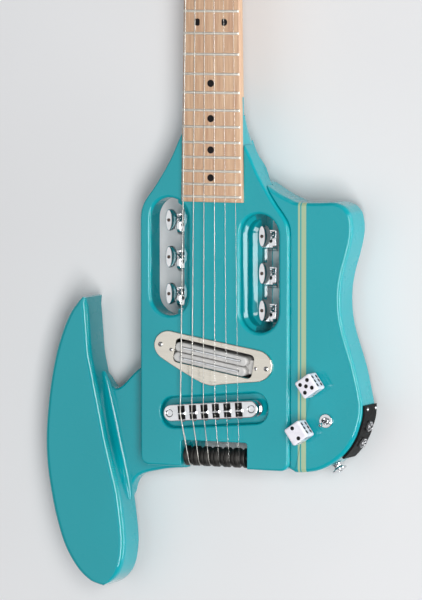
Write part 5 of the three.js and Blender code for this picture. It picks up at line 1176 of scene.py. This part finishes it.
def tuners():
    rings = [[(a * cos(TAU * k / 44), b * sin(TAU * k / 44), z) for k in range(44)]
             for z, a, b in BUTTON_ROWS]
    button = carved(ringed(rings), turned([(0, 40.3), (1.45, 40.3), (1.75, 42), (0, 42)], 24))
    button = together(button, turned(SPINDLE_PROFILE, 24))
    # The screw in the button's hollow is darkened as painted shade
    centre = moved(screw(1.35, 0.6, 0.3), 0, 0, 40.3)
    teeth = [np.array(p[:2]) for p in around([4.8, 4.8, 3.7, 3.7] * 14)]
    gear = plate(teeth, [(0.2, -1.5), (0, -1.3), (0, 1.3), (0.2, 1.5)])
    post = together(turned(WINDING_PROFILE, 28), moved(gear, 0, 0, WORM_OFFSET))
    case = tuner_housing()
    housings, screws = {-1: [], 1: []}, []
    for k, (side, distance) in enumerate(tuner_places()):
        place = (side * WORM_OFFSET, distance)
        turning, winder_body = f"tuner_button_{k + 1}", f"tuner_post_{k + 1}"
        piece(f"button_{k + 1}", moved(button, *place), CHROME, "chrome", body=turning, stands_for=[turning])
        piece(f"button_{k + 1}_screw", moved(centre, *place), SHADED_STEEL, "steel", body=turning)
        winder = moved(along_x(post, side), 0, distance + TUNER_POST_SHIFT, TUNER_POST_LEVEL)
        piece(f"winding_post_{k + 1}", winder, STEEL, "steel", body=winder_body, stands_for=[winder_body])
        mirrored = transformed(case, Matrix.Diagonal((side, 1, 1, 1)))
        housings[side].append(moved(mirrored, side * BEAM_SIDE, distance, HOUSING_MIDDLE))
        if housings[side][1:]:
            wall = sorted((side * BEAM_SIDE, side * (BEAM_SIDE + 0.8)))
            housings[side].append(box(wall, (distance - TUNER_PITCH + 12.2, distance - 2.9), (6.8, 16.8)))
        screws.append(moved(along_x(SMALL_SCREW, side), side * (BEAM_SIDE + HOUSING_DEPTH), distance + 9,
                            HOUSING_MIDDLE))
    for side, name in SIDES:
        piece(f"housings_{name}", together(*housings[side]), CHROME, "chrome",
              stands_for=[f"tuner_housings_{name}"])
    piece("housing_screws", together(*screws), STEEL, "steel")


# Knobs, switch, jacks

PIP_RADIUS = 1.75
PIP_REACH = 3.86
PAIR_REACH = 5.0
PIP_CORNERS = [(-1, -1), (-1, 1), (1, -1), (1, 1)]
PIPS = {1: [(0, 0)], 2: [(0, PAIR_REACH / PIP_REACH), (0, -PAIR_REACH / PIP_REACH)],
        3: [(-1, 1), (0, 0), (1, -1)], 4: PIP_CORNERS, 5: PIP_CORNERS + [(0, 0)],
        6: [(-1, -1), (-1, 0), (-1, 1), (1, -1), (1, 0), (1, 1)]}


def dice_knob(name, place, faces):
    """Faces are the counts of the top, then of the four sides from the one that faces the treble side."""
    half = KNOB_SIZE / 2
    cube = plate(rounded_box(KNOB_SIZE, KNOB_SIZE, 1.8, 6), rounding(-half, half, 1.7, 1.7, 6))
    hole = rod(PIP_RADIUS, half - 0.4, half + 1, 24)
    disc = turned([(0, half - 0.5), (PIP_RADIUS, half - 0.5), (PIP_RADIUS, half - 0.12),
                   (PIP_RADIUS * 0.5, half - 0.25), (0, half - 0.28)], 24)
    spots = []
    for index, count in enumerate(faces):
        sideways = Matrix.Rotation(pi / 2 * (index - 1), 4, "Z") @ Matrix.Rotation(pi / 2, 4, "Y")
        turn = sideways if index else Matrix.Identity(4)
        spots += [turn @ Matrix.Translation((a * PIP_REACH, b * PIP_REACH, 0)) for a, b in PIPS[count]]
    die = together(carved(cube, *[transformed(hole, spot) for spot in spots]),
                   rod(2, 35.7 - KNOB_LEVEL, 1 - half, 24))
    pips = together(*[transformed(disc, spot) for spot in spots])
    die, pips = (moved(data, *place, KNOB_LEVEL, KNOB_TURN) for data in (die, pips))
    piece(f"{name}_die", die, WHITE_PLASTIC, "white_plastic", body=name, stands_for=[name])
    piece(f"{name}_pips", pips, PIP_BLACK, "black_plastic", body=name)


def dice_knobs():
    dice_knob("volume_knob", VOLUME_KNOB_PLACE, (5, 6, 4, 1, 3))
    dice_knob("tone_knob", TONE_KNOB_PLACE, (2, 6, 3, 1, 4))


LEVER_PROFILE = [
    (0, -1.2), (1.0, -0.9), (1.0, 3), (1.15, 6.5), (1.45, 9.8), (1.5, 10.8), (1.3, 11.6), (0.8, 12),
    (0, 12)]
LEVER_TILT = radians(14)
THREAD_STEP = 0.45
THREAD_DEPTH = 0.18


def toggle():
    roof = WING_TOP - 3.8
    body = plate(rounded_box(8, 13, 0.5), rounding(roof - 9, roof, 0.4, 0.4))
    rows = int((WING_TOP + 4.2 - roof + 1) / THREAD_STEP)
    thread = [(3.2 - THREAD_DEPTH * (k % 2), roof - 1 + THREAD_STEP * k) for k in range(rows)]
    mouth = SWITCH_PIVOT_LEVEL - 1.5
    bush = turned([(0, roof - 1)] + thread
                  + [(3.0, WING_TOP + 4.3), (2.7, WING_TOP + 4.4), (1.5, mouth), (0, mouth)])
    outline = [np.array(p[:2]) for p in around([5.9] * 40)]
    ring = carved(plate(outline, rounding(WING_TOP + 0.3, WING_TOP + 2.1, 0.1, 0.5)),
                  rod(3.25, WING_TOP, WING_TOP + 3))
    switch = moved(together(body, bush, ring), *SWITCH_PLACE)
    piece("switch_body", switch, CHROME, "chrome", stands_for=["toggle_switch"])
    lever = transformed(turned(LEVER_PROFILE, 24), Matrix.Rotation(LEVER_TILT, 4, "X"))
    piece("lever_bat", moved(lever, *SWITCH_PLACE, SWITCH_PIVOT_LEVEL), CHROME, "chrome", body="lever",
          stands_for=["toggle_lever"])


PLATE_START, PLATE_END = 625.4, 669.5
PLATE_SECTION = [(0.3, 10.7), (1.7, 10.7), (2.1, 11.1), (2.1, 36.1), (1.7, 36.5), (0.3, 36.5)]


def side_plate_and_jacks():
    rings = []
    for k in range(24):
        point, out = edge_place(PLATE_START + (PLATE_END - PLATE_START) * k / 23)
        rings.append([(*(point + out * reach), z) for reach, z in PLATE_SECTION])
    holes = [on_edge(rod(3.6, -6, 6), place) for _, place in JACKS]
    piece("jack_plate", ringed(rings), BLACK_PLASTIC, "black_plastic", holes, stands_for=["side_plate"])
    screws = [on_edge(moved(SMALL_SCREW, 0, 0, 2.1), 628.8, height) for height in (31, 14)]
    piece("jack_plate_screws", together(*screws), CHROME, "chrome")
    barrel = turned([(1.8, -12), (3.3, -12), (3.3, 5.5), (3.1, 5.8), (2.1, 5.8), (1.8, 5.5)])
    ring = knurled([(4.3, 2.4), (4.6, 2.7), (4.6, 4.3), (4.3, 4.6)], 48, 0.28, 2.5, 4.5)
    ring = carved(ring, rod(3.3, 1, 6))
    for name, place in JACKS:
        piece(f"{name}_socket", on_edge(together(barrel, ring), place), STEEL, "chrome", stands_for=[name])


STRAP_PROFILE = [
    (0, -18), (1.75, -14.5), (1.75, 0.3), (4.4, 0.3), (4.7, 0.6), (4.4, 1.2), (3.7, 2), (3.5, 2.8),
    (3.7, 3.6), (4.7, 4.4), (6.2, 4.9), (6.7, 5.3), (6.65, 5.9), (5.8, 6.5), (4.2, 6.9), (2.6, 7),
    (2.2, 6.4), (0, 6.4)]


def strap_buttons():
    knob = carved(turned(STRAP_PROFILE, 40), box((-1.6, 1.6), (-0.3, 0.3), (5.9, 8)),
                  box((-0.3, 0.3), (-1.6, 1.6), (5.9, 8)))
    turn = Matrix.Translation((0, -396, 17)) @ Matrix.Rotation(radians(-148), 4, "X")
    for place, data in (("end", on_edge(knob, END_BUTTON_PLACE)), ("heel", transformed(knob, turn))):
        piece(f"strap_knob_{place}", data, CHROME, "chrome", stands_for=[f"strap_button_{place}"])


def control_cover():
    cover = plate(hollow_outline(5.3), rounding(WING_BOTTOM, WING_BOTTOM + 1.8, 0.4, 0))
    piece("cover_sheet", cover, BLACK_PLASTIC, "black_plastic", stands_for=["control_cover"])
    spots = ((74, 593), (74, 665), (74, 628), (109, 593), (124, 628), (123, 662))
    flip = Matrix.Rotation(pi, 4, "X")
    screws = [moved(transformed(SMALL_SCREW, flip), x, s, WING_BOTTOM) for x, s in spots]
    piece("cover_screws", together(*screws), STEEL, "steel")


def thumbscrew():
    head = knurled([(7.4, 2.2), (8.6, 2.35), (9, 2.9), (9, 8.4), (8.6, 9.05), (7.4, 9.2)], 72, 0.4, 2.3, 9.1)
    shank = turned([(0, 9), (2.5, 9), (2.5, 31.4), (2.1, 32), (0, 32)], 28)
    data = moved(together(head, shank), -THUMBSCREW_OFFSET, THUMBSCREW_PLACE)
    piece("thumbscrew_knob", data, STEEL, "steel", body="thumbscrew", stands_for=["armrest_thumbscrew"])


# Floor, light and camera

def studio():
    bpy.ops.mesh.primitive_plane_add(size=12, location=(0, 0, -0.0005))
    floor = bpy.context.object
    floor.name = "floor"
    paper = Finish("pale_floor", Roughness=0.9)
    tones = (0.3, colour(226, 226, 227)), (0.7, colour(230, 230, 231))
    paper.feed("Base Color", paper.ramp(paper.noise(3, detail=2), *tones))
    floor.data.materials.append(paper.material)

    world = bpy.data.worlds.new("studio")
    bpy.context.scene.world = world
    world.use_nodes = True
    sky = world.node_tree.nodes["Background"].inputs
    sky["Color"].default_value = (0.9, 0.95, 1.0, 1)
    sky["Strength"].default_value = 0.17

    for name, place, size, power in (
            ("face_softbox", (-1.13, -0.39, 2.6), (2.4, 2.4), 15),
            ("key", (1.5, -0.45, 2.5), (2.4, 0.9), 72),
            ("wall_strip", (2.4, -0.1, 0.2), (2.6, 0.25), 40),
            ("head_strip", (0.4, 3.0, 1.6), (2.2, 0.5), 5)):
        data = bpy.data.lights.new(name, "AREA")
        data.shape = "RECTANGLE"
        data.size, data.size_y = size
        data.energy = power
        light = bpy.data.objects.new(name, data)
        light.location = place
        light.rotation_euler = (-Vector(place)).to_track_quat("-Z", "Y").to_euler()
        bpy.context.scene.collection.objects.link(light)

    data = bpy.data.cameras.new("camera")
    camera = bpy.data.objects.new("camera", data)
    bpy.context.scene.collection.objects.link(camera)
    # Fitted to the frets, dots and edges of the fretboard in the photograph
    place = ORIGIN + Vector((1700.04, -234.70, 3725.0)) * MM
    camera.matrix_world = Matrix((
        (0.90763, -0.03119, 0.41860, place.x), (-0.00037, 0.99718, 0.07510, place.y),
        (-0.41977, -0.06831, 0.90506, place.z), (0, 0, 0, 1)))
    data.sensor_width = 36
    data.lens = 288.01
    data.clip_start, data.clip_end = 0.1, 20
    bpy.context.scene.camera = camera
    bpy.context.scene.view_settings.view_transform = "Standard"


for build in (front_cap, slot_coves, treble_wing, armrest, neck_core, fretboard, frets, position_dots,
              nut_and_anchor, strings, pickup, bridge, rollers, tuners, dice_knobs, toggle,
              side_plate_and_jacks, strap_buttons, control_cover, thumbscrew, studio):
    build()
